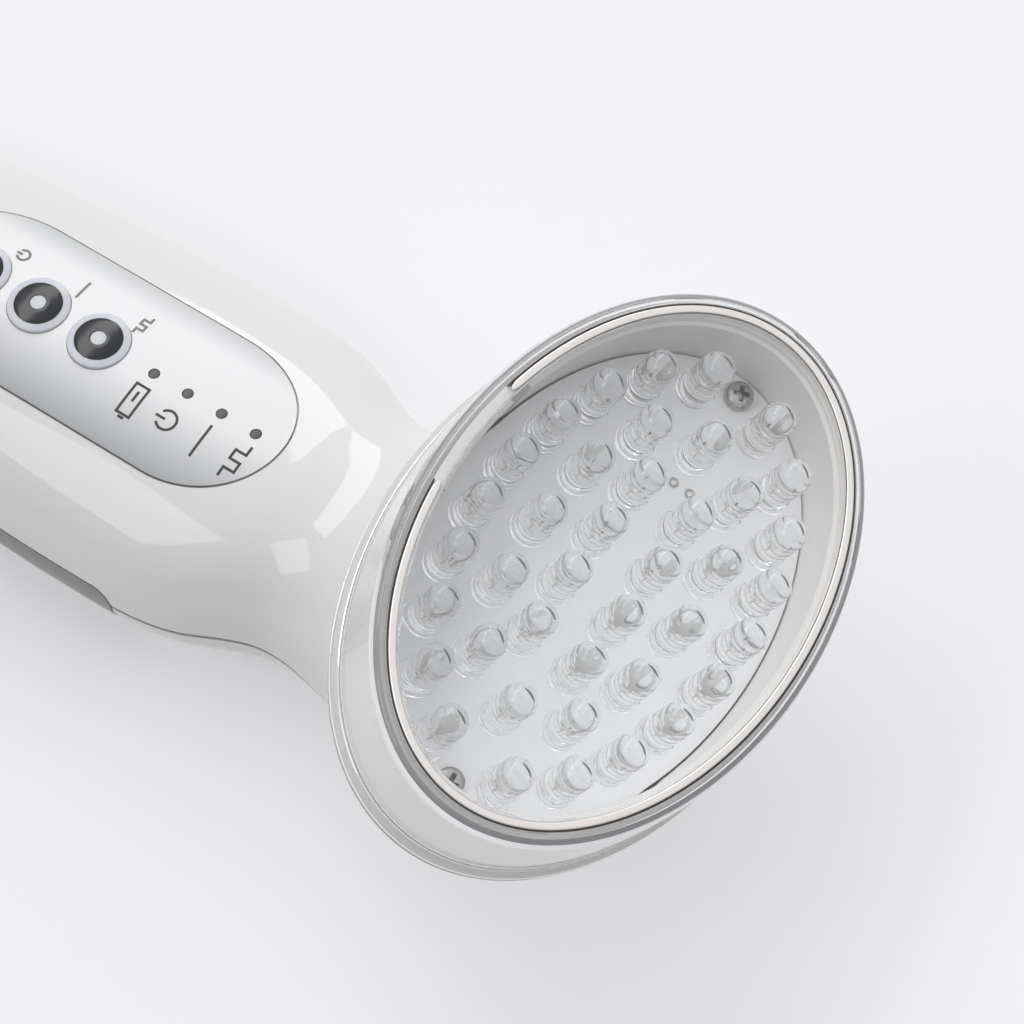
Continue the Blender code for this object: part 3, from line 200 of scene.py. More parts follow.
def length_property(name, description, default):
    return bpy.props.FloatProperty(
        name=name,
        description=description,
        default=default,
        min=0.0,
        precision=5,
        unit="LENGTH",
        subtype="DISTANCE",
    )


def colour_property(name, description, default):
    return bpy.props.FloatVectorProperty(
        name=name, description=description, default=default, size=3, min=0.0, max=1.0, subtype="COLOR"
    )


def level_property(name, description, default, least=0.0, **limits):
    return bpy.props.FloatProperty(name=name, description=description, default=default, min=least, **limits)


class HeadSizes(bpy.types.PropertyGroup):
    cap_half_length: length_property("Cap half length", "Half of the clear cap's long axis", 43.4 * MM)
    cap_half_width: length_property("Cap half width", "Half of the clear cap's short axis", 29.35 * MM)
    cap_wall: length_property("Cap wall", "Thickness of the clear cap's side wall", 1.3 * MM)
    cap_window: length_property("Cap window", "Thickness of the clear cap's face", 1.4 * MM)
    cap_bevel: length_property("Cap bevel", "Width of the bevel round the cap's face", 1.88 * MM)
    foot_reach: length_property("Foot reach", "How far the cap's foot stands out", 0.9 * MM)
    foot_height: length_property("Foot height", "Height of the cap's foot", 3.2 * MM)
    groove_inset: length_property("Groove inset", "From the cap's edge to the ring's groove", 2.0 * MM)
    groove_width: length_property("Groove width", "Width of the ring's groove", 1.5 * MM)
    groove_depth: length_property("Groove depth", "Depth of the ring's groove", 0.9 * MM)
    ring_clearance: length_property("Ring clearance", "Clearance round the metal ring", 0.08 * MM)
    ring_gap: length_property("Ring gap", "Width of the dark gap outside the metal ring", 0.26 * MM)
    ring_opening: length_property("Ring opening", "Width of the metal ring's open side", 17.2 * MM)
    well_half_length: length_property("Well half length", "Half of the lamp well's long axis", 38.7 * MM)
    well_half_width: length_property("Well half width", "Half of the lamp well's short axis", 25.0 * MM)
    lamp_diameter: length_property("Lamp diameter", "Diameter of one clear lamp", 5.0 * MM)
    lamp_flange_diameter: length_property("Lamp flange", "Diameter of a lamp's foot", 5.8 * MM)
    lamp_centre_height: length_property("Lamp height", "From the board to a dome's centre", 9.15 * MM)
    screw_head: length_property("Screw head", "Diameter of the board screws' heads", 4.2 * MM)


class HandleSizes(bpy.types.PropertyGroup):
    half_width: length_property("Handle half width", "Half of the handle's width", 28.3 * MM)
    neck_half_width: length_property("Neck half width", "Half of the neck's least width", 21.0 * MM)
    neck_half_height: length_property("Neck half height", "Half of the neck's thickness", 16.4 * MM)
    grip_thickness: length_property("Grip thickness", "Thickness of the grey grip", 1.3 * MM)
    grip_top: length_property("Grip top", "Height of the grip's upper edge", 20.0 * MM)
    grip_corner: length_property("Grip corner", "Radius of the grip's upper corners", 3.2 * MM)
    panel_half_length: length_property("Panel half length", "Half of the panel's length", 33.755 * MM)
    panel_half_width: length_property("Panel half width", "Half of the panel's width", 13.2 * MM)
    panel_end: length_property("Panel end", "Reach of the panel's round ends", 16.0 * MM)
    panel_thickness: length_property("Panel thickness", "Thickness of the silver panel", 0.5 * MM)
    panel_proud: length_property("Panel proud", "How far the panel stands over the shell", 0.1 * MM)
    key_diameter: length_property("Key diameter", "Diameter of one round key", 9.6 * MM)
    key_pitch: length_property("Key pitch", "Distance between two keys", 11.3 * MM)
    light_diameter: length_property("Light diameter", "Diameter of one indicator lens", 1.7 * MM)
    light_pitch: length_property("Light pitch", "Distance between two indicator lenses", 6.17 * MM)
    mark_line: length_property("Mark line", "Width of the printed lines", 0.42 * MM)


class FinishColours(bpy.types.PropertyGroup):
    shell_white: colour_property("Shell", "Glossy white housing", (0.83, 0.825, 0.825))
    well_white: colour_property("Well", "Warm white lamp well", (0.88, 0.858, 0.832))
    clear: colour_property("Clear plastic", "Clear cap", (0.99, 0.993, 0.996))
    lamp_clear: colour_property("Lamp", "Clear lamps", (0.992, 0.995, 1.0))
    # Painted shade: a thin grey sheet under the cap's foot, seen through the clear foot
    foot_painted_shade: colour_property("Seal", "Thin grey seal under the cap's foot", (0.36, 0.37, 0.38))
    # Painted shade: a grey band just under the cap's bevel, seen through it
    bevel_painted_shade: colour_property("Bevel", "Grey band under the cap's bevel", (0.33, 0.337, 0.345))
    seat_white: colour_property("Ring seat", "Frosted floor of the ring's groove", (0.84, 0.845, 0.85))
    # Painted shade: dark fill in the gap outside the metal ring
    ring_gap_painted_shade: colour_property("Ring gap", "Dark glue outside the metal ring", (0.035, 0.026, 0.023))
    ring_metal: colour_property("Ring", "Satin metal ring", (0.9, 0.85, 0.82))
    lead_metal: colour_property("Lamp leads", "Posts and cups in the lamps", (0.82, 0.81, 0.79))
    # Painted reflection: a dark crescent near the top of each dome
    dome_painted_crescent: colour_property("Lamp flags", "Dark edges under the domes", (0.24, 0.24, 0.245))
    eyelet_tin: colour_property("Eyelets", "Tinned eyelets of the board", (0.5, 0.5, 0.49))
    board_white: colour_property("Board", "White lamp board", (0.955, 0.96, 0.968))
    screw_metal: colour_property("Screws", "Plated screws", (0.5, 0.49, 0.47))
    panel_silver: colour_property("Panel", "Silver key panel", (0.765, 0.765, 0.77))
    # Painted shade on the panel's two long sides, deeper on the near side
    panel_painted_shade: colour_property("Panel edge", "Darker sides of the silver panel", (0.42, 0.43, 0.44))
    key_grey: colour_property("Keys", "Translucent keys", (0.68, 0.69, 0.755))
    key_black: colour_property("Key rings", "Glossy black inserts of the keys", (0.012, 0.014, 0.017))
    lens_grey: colour_property("Lights", "Indicator lenses", (0.085, 0.087, 0.09))
    grip_grey: colour_property("Grip", "Satin grey grip", (0.27, 0.267, 0.27))
    # A real lip, coloured dark as painted shade in the seam
    seam_painted_shade: colour_property("Seam", "Shaded lip between the two shells", (0.3, 0.25, 0.25))
    print_grey: colour_property("Marks", "Printed marks", (0.035, 0.037, 0.04))
    print_pale: colour_property("Small print", "Paler marks beside the keys", (0.21, 0.21, 0.22))


class StageSettings(bpy.types.PropertyGroup):
    floor_colour: colour_property("Floor", "Pale floor", (0.92, 0.92, 0.935))
    lens: level_property("Lens", "Focal length of the camera in millimetres", 110.64, 1.0)
    main_glow: level_property("Main lamp", "Brightness of the large lamp, where plain white is 1", 2.8)
    fill_glow: level_property("Fill lamp", "Brightness of the fill lamp, where plain white is 1", 2.1)
    world_level: level_property("Surround", "Brightness of the studio overhead", 0.8)
    dim_level: level_property("Dim side", "Brightness of the studio low down on its dim side", 0.06)
    floor_light: level_property("Floor light", "Share of plain white in the floor as seen", 0.4, max=1.0)


# Meshes
def smooth_row(table, along):
    """Read a table of rows at a place along it, on a smooth curve through the rows."""
    last = len(table) - 1
    index = 0
    while index < last - 1 and along > table[index + 1][0]:
        index += 1
    start = table[index]
    end = table[index + 1]
    before = table[max(index - 1, 0)]
    after = table[min(index + 2, last)]
    span = end[0] - start[0]
    local = min(max((along - start[0]) / span, 0.0), 1.0)
    values = []
    for column in range(1, len(start)):
        leaving = (end[column] - before[column]) / (end[0] - before[0]) * span
        arriving = (after[column] - start[column]) / (after[0] - start[0]) * span
        square = local * local
        cube = square * local
        values.append(
            (2 * cube - 3 * square + 1) * start[column]
            + (cube - 2 * square + local) * leaving
            + (3 * square - 2 * cube) * end[column]
            + (cube - square) * arriving
        )
    return values


def handle_section(sizes, along, inset):
    """Centre, turn, half width and half height of a section of the straight handle."""
    wide, high = smooth_row(HANDLE_SHARES, along)
    start = TAIL_X + inset
    centre = Vector((start + (NECK_X - start) * along, 0, HANDLE_AXIS_HEIGHT))
    return centre, 0.0, wide * (sizes.half_width - inset), high * (HANDLE_HALF_HEIGHT - inset)


def neck_section(sizes, head, along, inset):
    """The same for a section of the neck, which bends up from the handle to the head's rim."""
    shares = smooth_row(NECK_SHARES, along)
    rim_length = head.cap_half_length + head.foot_reach
    rim_width = head.cap_half_width + head.foot_reach
    widths = (sizes.half_width - inset, sizes.neck_half_width - inset, rim_length - inset)
    heights = (HANDLE_HALF_HEIGHT - inset, sizes.neck_half_height - inset, rim_width - inset)
    wide = sum(share * width for share, width in zip(shares[:3], widths))
    high = sum(share * height for share, height in zip(shares[3:], heights))
    start = Vector((NECK_X, 0, HANDLE_AXIS_HEIGHT))
    pull = start + Vector((NECK_START_PULL, 0, 0))
    push = HEAD_CENTRE - HEAD_NORMAL * NECK_END_PULL
    rest = 1 - along
    centre = (
        start * rest ** 3
        + pull * 3 * rest ** 2 * along
        + push * 3 * rest * along ** 2
        + HEAD_CENTRE * along ** 3
    )
    slope = (
        (pull - start) * 3 * rest ** 2
        + (push - pull) * 6 * rest * along
        + (HEAD_CENTRE - push) * 3 * along ** 2
    )
    return centre, math.atan2(slope.z, slope.x), wide, high


def section_points(centre, turn, wide, high):
    """Points round a section; none lies below the flat that the device rests on."""
    points = []
    for step in range(SKIN_SIDES):
        angle = FULL_TURN * step / SKIN_SIDES
        across = wide * math.cos(angle)
        upward = high * math.sin(angle)
        point = centre + Vector((-upward * math.sin(turn), across, upward * math.cos(turn)))
        point.z = max(point.z, 0.0)
        points.append(point)
    return points


def body_rings(sizes, head, inset, reduce=1):
    """Sections of the whole handle and neck, set in from the outer skin by the inset."""
    rings = []
    handle_rings = HANDLE_RINGS // reduce
    neck_rings = NECK_RINGS // reduce
    for step in range(handle_rings):
        along = (step / handle_rings) ** TAIL_CROWDING
        rings.append(section_points(*handle_section(sizes, along, inset)))
    for step in range(neck_rings + 1):
        along = step / neck_rings
        rings.append(section_points(*neck_section(sizes, head, along, inset)))
    return rings


def skin_rings(name, rings, close_loop=False):
    """Bridge a row of point rings; the ends are filled, or joined to each other in a loop."""
    count = len(rings[0])
    points = [point for ring in rings for point in ring]
    faces = []
    rows = len(rings) if close_loop else len(rings) - 1
    for row in range(rows):
        low = row * count
        high = (row + 1) % len(rings) * count
        for index in range(count):
            following = (index + 1) % count
            faces.append((low + index, low + following, high + following, high + index))
    if not close_loop:
        faces.append(tuple(range(count)))
        faces.append(tuple(range((len(rings) - 1) * count, len(rings) * count)))
    mesh = bpy.data.meshes.new(name)
    mesh.from_pydata(points, [], faces)
    return tidy_mesh(mesh)


def tidy_mesh(mesh):
    """Turn the faces outwards and shade them smooth, with real edges kept sharp."""
    bm = bmesh.new()
    bm.from_mesh(mesh)
    bmesh.ops.recalc_face_normals(bm, faces=bm.faces)
    bm.to_mesh(mesh)
    bm.free()
    return smooth_mesh(mesh)


def smooth_mesh(mesh):
    mesh.shade_smooth()
    mesh.set_sharp_from_angle(angle=SHARP_ANGLE)
    return mesh


def rounded(rows, radius, steps, closed=False):
    """Round the corners of a section of (reach, height) rows by up to the radius."""
    most = 0.45
    count = len(rows)
    result = []
    for index, row in enumerate(rows):
        corner = Vector(row)
        if not closed and index in (0, count - 1):
            result.append(corner)
            continue
        before = Vector(rows[index - 1]) - corner
        after = Vector(rows[(index + 1) % count]) - corner
        reach = min(radius, before.length * most, after.length * most)
        start = corner + before.normalized() * reach
        end = corner + after.normalized() * reach
        for step in range(steps + 1):
            share = step / steps
            result.append(
                start * (1 - share) ** 2 + corner * 2 * share * (1 - share) + end * share ** 2
            )
    return result


def oval_ring(half_length, half_width, height):
    """An oval with its long axis along Y, in the head's frame."""
    angles = [FULL_TURN * step / OVAL_SIDES for step in range(OVAL_SIDES)]
    return [Vector((half_width * math.sin(a), half_length * math.cos(a), height)) for a in angles]


def oval_rings(half_length, half_width, rows):
    """One oval for each row of its reach beyond the half sizes, and its height."""
    return [oval_ring(half_length + reach, half_width + reach, height) for reach, height in rows]


def turned(name, rows, sides=ROUND_SIDES, close_loop=False):
    """A body of revolution about +Z from (radius, height) rows."""
    rings = []
    for radius, height in rows:
        angles = [FULL_TURN * step / sides for step in range(sides)]
        rings.append([Vector((radius * math.cos(a), radius * math.sin(a), height)) for a in angles])
    return skin_rings(name, rings, close_loop)


def box_mesh(name, low, high):
    corners = ((low[0], low[1]), (high[0], low[1]), (high[0], high[1]), (low[0], high[1]))
    return prism_mesh(name, corners, low[2], high[2])


def box_section(first, second, low, high):
    """Rows of a box section that goes up at the first reach and down at the second."""
    return (first, low), (first, high), (second, high), (second, low)


def prism_mesh(name, outline, low, high, axis="Z"):
    """Extrude a flat outline from low to high along Z, or along Y for an outline in X and Z."""
    if axis == "Z":
        rings = [[Vector((u, v, level)) for u, v in outline] for level in (low, high)]
    else:
        rings = [[Vector((u, level, v)) for u, v in outline] for level in (low, high)]
    return skin_rings(name, rings)


def joined(name, meshes):
    bm = bmesh.new()
    for mesh in meshes:
        bm.from_mesh(mesh)
        bpy.data.meshes.remove(mesh)
    result = bpy.data.meshes.new(name)
    bm.to_mesh(result)
    bm.free()
    return smooth_mesh(result)


def moved(mesh, place, turn=None):
    matrix = Matrix.Translation(place)
    if turn is not None:
        matrix = matrix @ turn
    mesh.transform(matrix)
    return mesh


def round_hole(radius, low, high, x=0.0, y=0.0):
    """A round cutter along Z at the place (x, y)."""
    return moved(turned("hole", ((radius, low), (radius, high))), (x, y, 0))


def shaped(mesh, steps):
    """Run Boolean steps on a mesh; each step is an operation and the mesh it uses."""
    scene = bpy.context.scene
    item = bpy.data.objects.new("shaping", mesh)
    scene.collection.objects.link(item)
    others = []
    for operation, other_mesh in steps:
        other = bpy.data.objects.new("shaping_tool", other_mesh)
        scene.collection.objects.link(other)
        others.append(other)
        modifier = item.modifiers.new(operation.title(), "BOOLEAN")
        modifier.object = other
        modifier.operation = operation
        modifier.solver = "EXACT"
    bpy.context.view_layer.update()
    evaluated = item.evaluated_get(bpy.context.evaluated_depsgraph_get())
    result = bpy.data.meshes.new_from_object(evaluated)
    bpy.data.objects.remove(item, do_unlink=True)
    for other in others:
        bpy.data.objects.remove(other, do_unlink=True)
    if not result.polygons:
        raise RuntimeError("a shape came out empty")
    return tidy_mesh(result)


def keep_skin_shading(mesh, skin):
    """Give a cut mesh the smooth shading of the whole skin wherever it still lies on that skin."""
    nearest = GAP / 3
    same_way = 0.93
    bm = bmesh.new()
    bm.from_mesh(skin)
    bmesh.ops.triangulate(bm, faces=[face for face in bm.faces if len(face.verts) < SKIN_SIDES])
    bm.normal_update()
    bm.faces.ensure_lookup_table()
    tree = BVHTree.FromBMesh(bm)
    normals = [corner.vector.copy() for corner in mesh.corner_normals]
    for face in mesh.polygons:
        for loop in face.loop_indices:
            point = mesh.vertices[mesh.loops[loop].vertex_index].co
            place, _, index, _ = tree.find_nearest(point, nearest)
            if place is None or len(bm.faces[index].verts) != 3:
                continue
            corners = [vertex.co for vertex in bm.faces[index].verts]
            slopes = [vertex.normal for vertex in bm.faces[index].verts]
            normal = barycentric_transform(place, *corners, *slopes).normalized()
            if normal.dot(face.normal) > same_way:
                normals[loop] = normal
    bm.free()
    mesh.normals_split_custom_set(normals)


def add_piece(name, mesh, finish, body=HOUSING, replaced=()):
    """Link a piece, give it its finish and let it ride on its body."""
    mesh.name = name
    mesh.materials.clear()
    mesh.materials.append(finish)
    piece = bpy.data.objects.new(name, mesh)
    bpy.context.scene.collection.objects.link(piece)
    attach(piece, body)
    if replaced:
        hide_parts(*replaced)


# Finishes
class Finish:
    """A material under construction, with short ways to add and link its nodes."""

    def __init__(self, name):
        self.material = bpy.data.materials.new(name)
        self.material.use_nodes = True
        self.tree = self.material.node_tree
        self.shader = self.tree.nodes["Principled BSDF"]
        self.output = self.tree.nodes["Material Output"]
        self.place = None

    def node(self, kind, **settings):
        made = self.tree.nodes.new(kind)
        for key, value in settings.items():
            setattr(made, key, value)
        return made

    def link(self, source, target):
        self.tree.links.new(source, target)

    def position(self):
        if self.place is None:
            self.place = self.node("ShaderNodeTexCoord")
        return self.place.outputs["Object"]

    def feed(self, value, target):
        """Link a node's output to a socket, or set a number or a colour on it."""
        if isinstance(value, bpy.types.NodeSocket):
            self.link(value, target)
        else:
            target.default_value = (*value, 1.0) if isinstance(value, tuple) else value

    def noise(self, scale, detail=3.0):
        """Noise fixed to the piece; the scale is in bumps per metre."""
        texture = self.node("ShaderNodeTexNoise")
        texture.inputs["Scale"].default_value = scale
        texture.inputs["Detail"].default_value = detail
        self.link(self.position(), texture.inputs["Vector"])
        return texture.outputs["Fac"]

    def mixed_colour(self, factor, first, second, blend="MIX"):
        mix = self.node("ShaderNodeMix", data_type="RGBA", blend_type=blend)
        self.feed(factor, mix.inputs["Factor"])
        self.feed(first, mix.inputs[6])
        self.feed(second, mix.inputs[7])
        return mix.outputs[2]

    def spread(self, source, low, high, start=0.0, end=1.0):
        """Map a value from start and end to low and high."""
        ramp = self.node("ShaderNodeMapRange")
        ramp.inputs["From Min"].default_value = start
        ramp.inputs["From Max"].default_value = end
        ramp.inputs["To Min"].default_value = low
        ramp.inputs["To Max"].default_value = high
        self.link(source, ramp.inputs["Value"])
        return ramp.outputs["Result"]

    def bump(self, height, depth, strength=1.0):
        node = self.node("ShaderNodeBump")
        node.inputs["Strength"].default_value = strength
        node.inputs["Distance"].default_value = depth
        self.link(height, node.inputs["Height"])
        self.link(node.outputs["Normal"], self.shader.inputs["Normal"])

    def vary(self, pattern, dark, light, smooth, rough):
        """Let a pattern lead the colour from dark to light and the roughness from smooth to rough."""
        self.link(self.mixed_colour(pattern, dark, light), self.shader.inputs["Base Color"])
        self.link(self.spread(pattern, smooth, rough), self.shader.inputs["Roughness"])

    def cover(self, share, other):
        """Let another shader take the main one's place by a share."""
        mix = self.node("ShaderNodeMixShader")
        self.link(share, mix.inputs["Fac"])
        self.link(self.shader.outputs["BSDF"], mix.inputs[1])
        self.link(other, mix.inputs[2])
        self.link(mix.outputs["Shader"], self.output.inputs["Surface"])

    def set(self, **values):
        """Set values on the main shader; an underscore stands for a blank in a socket's name."""
        for key, value in values.items():
            self.shader.inputs[key.replace("_", " ")].default_value = value


def highest(tree, sockets):
    """The highest of the values that some sockets give."""
    result = sockets[0]
    for socket in sockets[1:]:
        node = tree.nodes.new("ShaderNodeMath")
        node.operation = "MAXIMUM"
        tree.links.new(result, node.inputs[0])
        tree.links.new(socket, node.inputs[1])
        result = node.outputs["Value"]
    return result


def seen_rays(tree):
    """One for the rays that show the stage: straight, mirrored or through clear pieces."""
    path = tree.nodes.new("ShaderNodeLightPath")
    kinds = ("Is Camera Ray", "Is Glossy Ray", "Is Transmission Ray")
    return highest(tree, [path.outputs[kind] for kind in kinds])


def shade(colour, factor):
    return tuple(channel * factor for channel in colour)


def moulded_finish(name, colour, roughness, mottle, grain=0.0, scale=140.0):
    """Moulded plastic: faint clouds in its colour and gloss, and a fine grain if it has one."""
    finish = Finish(name)
    clouds = finish.noise(scale)
    dark = shade(colour, 1 - mottle)
    light = shade(colour, 1 + mottle)
    finish.vary(clouds, dark, light, roughness * 0.85, roughness * 1.15)
    if grain:
        finish.bump(finish.noise(scale * 30, 2.0), grain)
    return finish


def metal_finish(name, colour, roughness, mottle=0.08, scale=1500.0, depth=0.00001):
    """Metal with fine marks in its colour, its gloss and its surface."""
    finish = Finish(name)
    marks = finish.noise(scale, 4.0)
    dark = shade(colour, 1 - mottle)
    light = shade(colour, 1 + mottle / 2)
    finish.vary(marks, dark, light, roughness * 0.75, roughness * 1.25)
    finish.bump(marks, depth)
    finish.set(Metallic=1.0)
    return finish


def clear_finish(name, colour, density):
    """Clear plastic that lets the lamps' light through to what is inside it.

    Light that has been turned or mirrored in it many times goes on a little dimmed, and isn't lost.
    """
    finish = Finish(name)
    clouds = finish.noise(90.0)
    finish.link(finish.mixed_colour(clouds, shade(colour, 0.985), colour), finish.shader.inputs["Base Color"])
    finish.set(Roughness=0.01, IOR=density, Transmission_Weight=1.0)
    path = finish.node("ShaderNodeLightPath")
    through = finish.node("ShaderNodeBsdfTransparent")
    deep = []
    for kind, most in PASSING_DEPTHS:
        often = finish.node("ShaderNodeMath", operation="GREATER_THAN")
        often.inputs[1].default_value = most
        finish.link(path.outputs[kind], often.inputs[0])
        deep.append(often.outputs["Value"])
    spent = highest(finish.tree, deep)
    finish.link(finish.mixed_colour(spent, colour, shade(colour, PASSING_SHARE)), through.inputs["Color"])
    passing = highest(finish.tree, [path.outputs["Is Shadow Ray"], path.outputs["Is Diffuse Ray"], spent])
    finish.cover(passing, through.outputs["BSDF"])
    return finish


def shared_finish(name, make):
    """The material of that name, made the first time it is asked for."""
    found = bpy.data.materials.get(name)
    return found if found is not None else make(name).material


def plastic(name, colour, **values):
    return shared_finish(name, lambda title: moulded_finish(title, tuple(colour), **values))


def metal(name, colour, **values):
    return shared_finish(name, lambda title: metal_finish(title, tuple(colour), **values))


def clear(name, colour, density):
    return shared_finish(name, lambda title: clear_finish(title, tuple(colour), density))


def shell_finish(colours):
    """Glossy white with the very faint waves of a large moulding."""
    def make(name):
        finish = moulded_finish(name, tuple(colours.shell_white), roughness=0.045, mottle=0.012, scale=60.0)
        finish.bump(finish.noise(40.0, 1.0), 0.00002, 0.25)
        return finish
    return shared_finish("shell_gloss_white", make)


def screw_finish(colours):
    return metal("screw_plated", colours.screw_metal, roughness=0.28, mottle=0.2, scale=1800.0)


# Head pieces
def in_head(mesh):
    mesh.transform(HEAD_MATRIX)
    return mesh


def cap_oval(name, head, rows, close_loop=False):
    """An oval body about the cap's axis, from rows of reach beyond the cap's side, and height."""
    rings = oval_rings(head.cap_half_length, head.cap_half_width, rows)
    return in_head(skin_rings(name, rings, close_loop))


def lamp_places(head):
    """All lamp places in the head's frame, mirrored from one quarter of the board."""
    places = []
    for across, along in OUTER_LAMP_SHARES + SECOND_LAMP_SHARES + INNER_LAMP_SHARES:
        for side in (1, -1):
            for end in (1, -1):
                place = (side * along * head.well_half_width, end * across * head.well_half_length)
                if place not in places:
                    places.append(place)
    return places


class LIGHTDEVICE_OT_lens_cap(bpy.types.Operator):
    """Make the clear oval cap with its rolled foot, rim and groove, and the grey bands of painted shade under
    it
    """

    bl_idname = "light_device.lens_cap"
    bl_label = "Clear Cap"

    def execute(self, context):
        head = context.scene.light_device_head
        colours = context.scene.light_device_colours
        groove_outer = -head.groove_inset
        groove_inner = groove_outer - head.groove_width
        groove_floor = CAP_FACE_HEIGHT - head.groove_depth
        window_low = CAP_FACE_HEIGHT - head.cap_window
        bevel_drop = CAP_FACE_HEIGHT - CAP_RIM_HEIGHT
        bend = 0.3
        foot_round = 0.5 * MM
        corner_round = 0.55 * MM
        face_reach = 1.2 * MM
        section = rounded((
            (-head.cap_wall - face_reach, window_low),
            (-head.cap_wall, window_low),
            (-head.cap_wall, FOOT_LIFT),
            (head.foot_reach - foot_round, FOOT_LIFT),
            (head.foot_reach, foot_round),
            (head.foot_reach, head.foot_height - foot_round),
            (head.foot_reach - foot_round, head.foot_height),
            (0.0, head.foot_height + foot_round),
            (0.0, CAP_RIM_HEIGHT),
            (-head.cap_bevel * bend, CAP_FACE_HEIGHT - bevel_drop * bend),
            (-head.cap_bevel, CAP_FACE_HEIGHT),
            (groove_outer, CAP_FACE_HEIGHT),
            (groove_outer, groove_floor),
            (groove_inner, groove_floor),
            (groove_inner, CAP_FACE_HEIGHT),
            (groove_inner - face_reach, CAP_FACE_HEIGHT),
        ), corner_round, 5)
        mesh = cap_oval("lens_cap", head, section)
        finish = clear("cap_clear", colours.clear, 1.49)
        add_piece("clear_cap", mesh, finish, replaced=("lens_cap",))

        # A thin grey sheet under the cap's foot: painted shade seen through the clear foot
        foot_shade_inner = -0.1 * MM
        foot_shade_outer = head.foot_reach - 0.12 * MM
        foot_shade_top = 0.04 * MM
        self.add_shade_band(head, "cap_foot_shade", box_section(foot_shade_outer, foot_shade_inner, 0.0, foot_shade_top), colours.foot_painted_shade)

        # A grey band just under the bevel's face: painted shade standing in for what the bevel shows of the
        # inside
        bevel_shade_low = CAP_RIM_HEIGHT + 0.42 * bevel_drop
        bevel_shade_inner = groove_outer + 0.26 * MM
        bevel_shade_outer = 0.01 * MM
        face = [row for row in section if row[1] > bevel_shade_low and bevel_shade_inner < row[0] < bevel_shade_outer]
        upper = [(reach - 0.05 * MM, height - 0.07 * MM) for reach, height in face]
        lower = [(reach - 0.1 * MM, height - 0.13 * MM) for reach, height in face]
        self.add_shade_band(head, "bevel_shade_band", upper + lower[::-1], colours.bevel_painted_shade)
        return {"FINISHED"}

    def add_shade_band(self, head, name, rows, colour):
        """Add an oval band of painted shade round the head, from the rows of its closed section."""
        finish = plastic(f"{name}_grey", colour, roughness=0.5, mottle=0.05, grain=0.00001, scale=300.0)
        add_piece(name, cap_oval(name, head, rows, True), finish)


class LIGHTDEVICE_OT_front_ring(bpy.types.Operator):
    """Make the satin metal ring in the cap's groove, open on the handle's side, its seat, and a dark fill
    outside it that is painted shade in the gap
    """

    bl_idname = "light_device.front_ring"
    bl_label = "Metal Ring"

    def execute(self, context):
        head = context.scene.light_device_head
        colours = context.scene.light_device_colours
        floor = CAP_FACE_HEIGHT - head.groove_depth
        outer = -head.groove_inset - head.ring_gap
        inner = -head.groove_inset - head.groove_width + head.ring_clearance
        low = floor + head.ring_clearance + 0.06 * MM
        corner_round = 0.32 * MM
        section = rounded(box_section(outer, inner, low, CAP_FACE_HEIGHT), corner_round, 5, True)
        half_opening = math.asin(head.ring_opening / 2 / (head.cap_half_length + outer))
        first = -QUARTER_TURN + half_opening
        sweep = FULL_TURN - 2 * half_opening
        mesh = self.open_ring(head, "front_ring", section, first, sweep, 0.5)
        satin = metal(
            "ring_satin", colours.ring_metal, roughness=0.34, mottle=0.05, scale=900.0, depth=0.000012
        )
        add_piece("metal_ring", mesh, satin, replaced=("front_ring",))

        frosted = plastic(
            "seat_frosted", colours.seat_white, roughness=0.35, mottle=0.03, grain=0.00001, scale=300.0
        )
        add_piece("ring_seat", self.seat(head), frosted)

        # A dark fill in the gap outside the ring: painted shade
        gap_shade_inner = outer + 0.02 * MM
        gap_shade_outer = -head.groove_inset - 0.03 * MM
        gap_shade_low = floor + 0.13 * MM
        gap_shade_top = CAP_FACE_HEIGHT - 0.25 * MM
        rows = box_section(gap_shade_inner, gap_shade_outer, gap_shade_low, gap_shade_top)
        gap_shade = self.open_ring(head, "ring_gap_shade", rows, first, sweep, 1.0)
        gap_shade_finish = plastic(
            "ring_gap_shade_brown", colours.ring_gap_painted_shade, roughness=0.3, mottle=0.2, grain=0.00001, scale=300.0
        )
        add_piece("ring_gap_shade", gap_shade, gap_shade_finish)
        return {"FINISHED"}

    def open_ring(self, head, name, section, first, sweep, end_share):
        """Sweep a section along part of the oval; its two end rings are narrowed to a share."""
        rows = [Vector(row) for row in section]
        middle = sum(row.x for row in rows) / len(rows)
        rings = []
        for step in range(OVAL_SIDES + 1):
            angle = first + sweep * step / OVAL_SIDES
            squeeze = end_share if step in (0, OVAL_SIDES) else 1.0
            ring = []
            for row in rows:
                reach = middle + (row.x - middle) * squeeze
                x = (head.cap_half_width + reach) * math.sin(angle)
                y = (head.cap_half_length + reach) * math.cos(angle)
                ring.append(Vector((x, y, row.y)))
            rings.append(ring)
        return in_head(skin_rings(name, rings))

    def seat(self, head):
        """The frosted floor of the groove, bare where the ring is open."""
        margin = 0.05 * MM
        corner_round = 0.04 * MM
        outer = -head.groove_inset - margin
        inner = -head.groove_inset - head.groove_width + margin
        low = CAP_FACE_HEIGHT - head.groove_depth + 0.02 * MM
        high = low + 0.1 * MM
        section = rounded(box_section(outer, inner, low, high), corner_round, 2, True)
        return cap_oval("ring_seat", head, section, True)


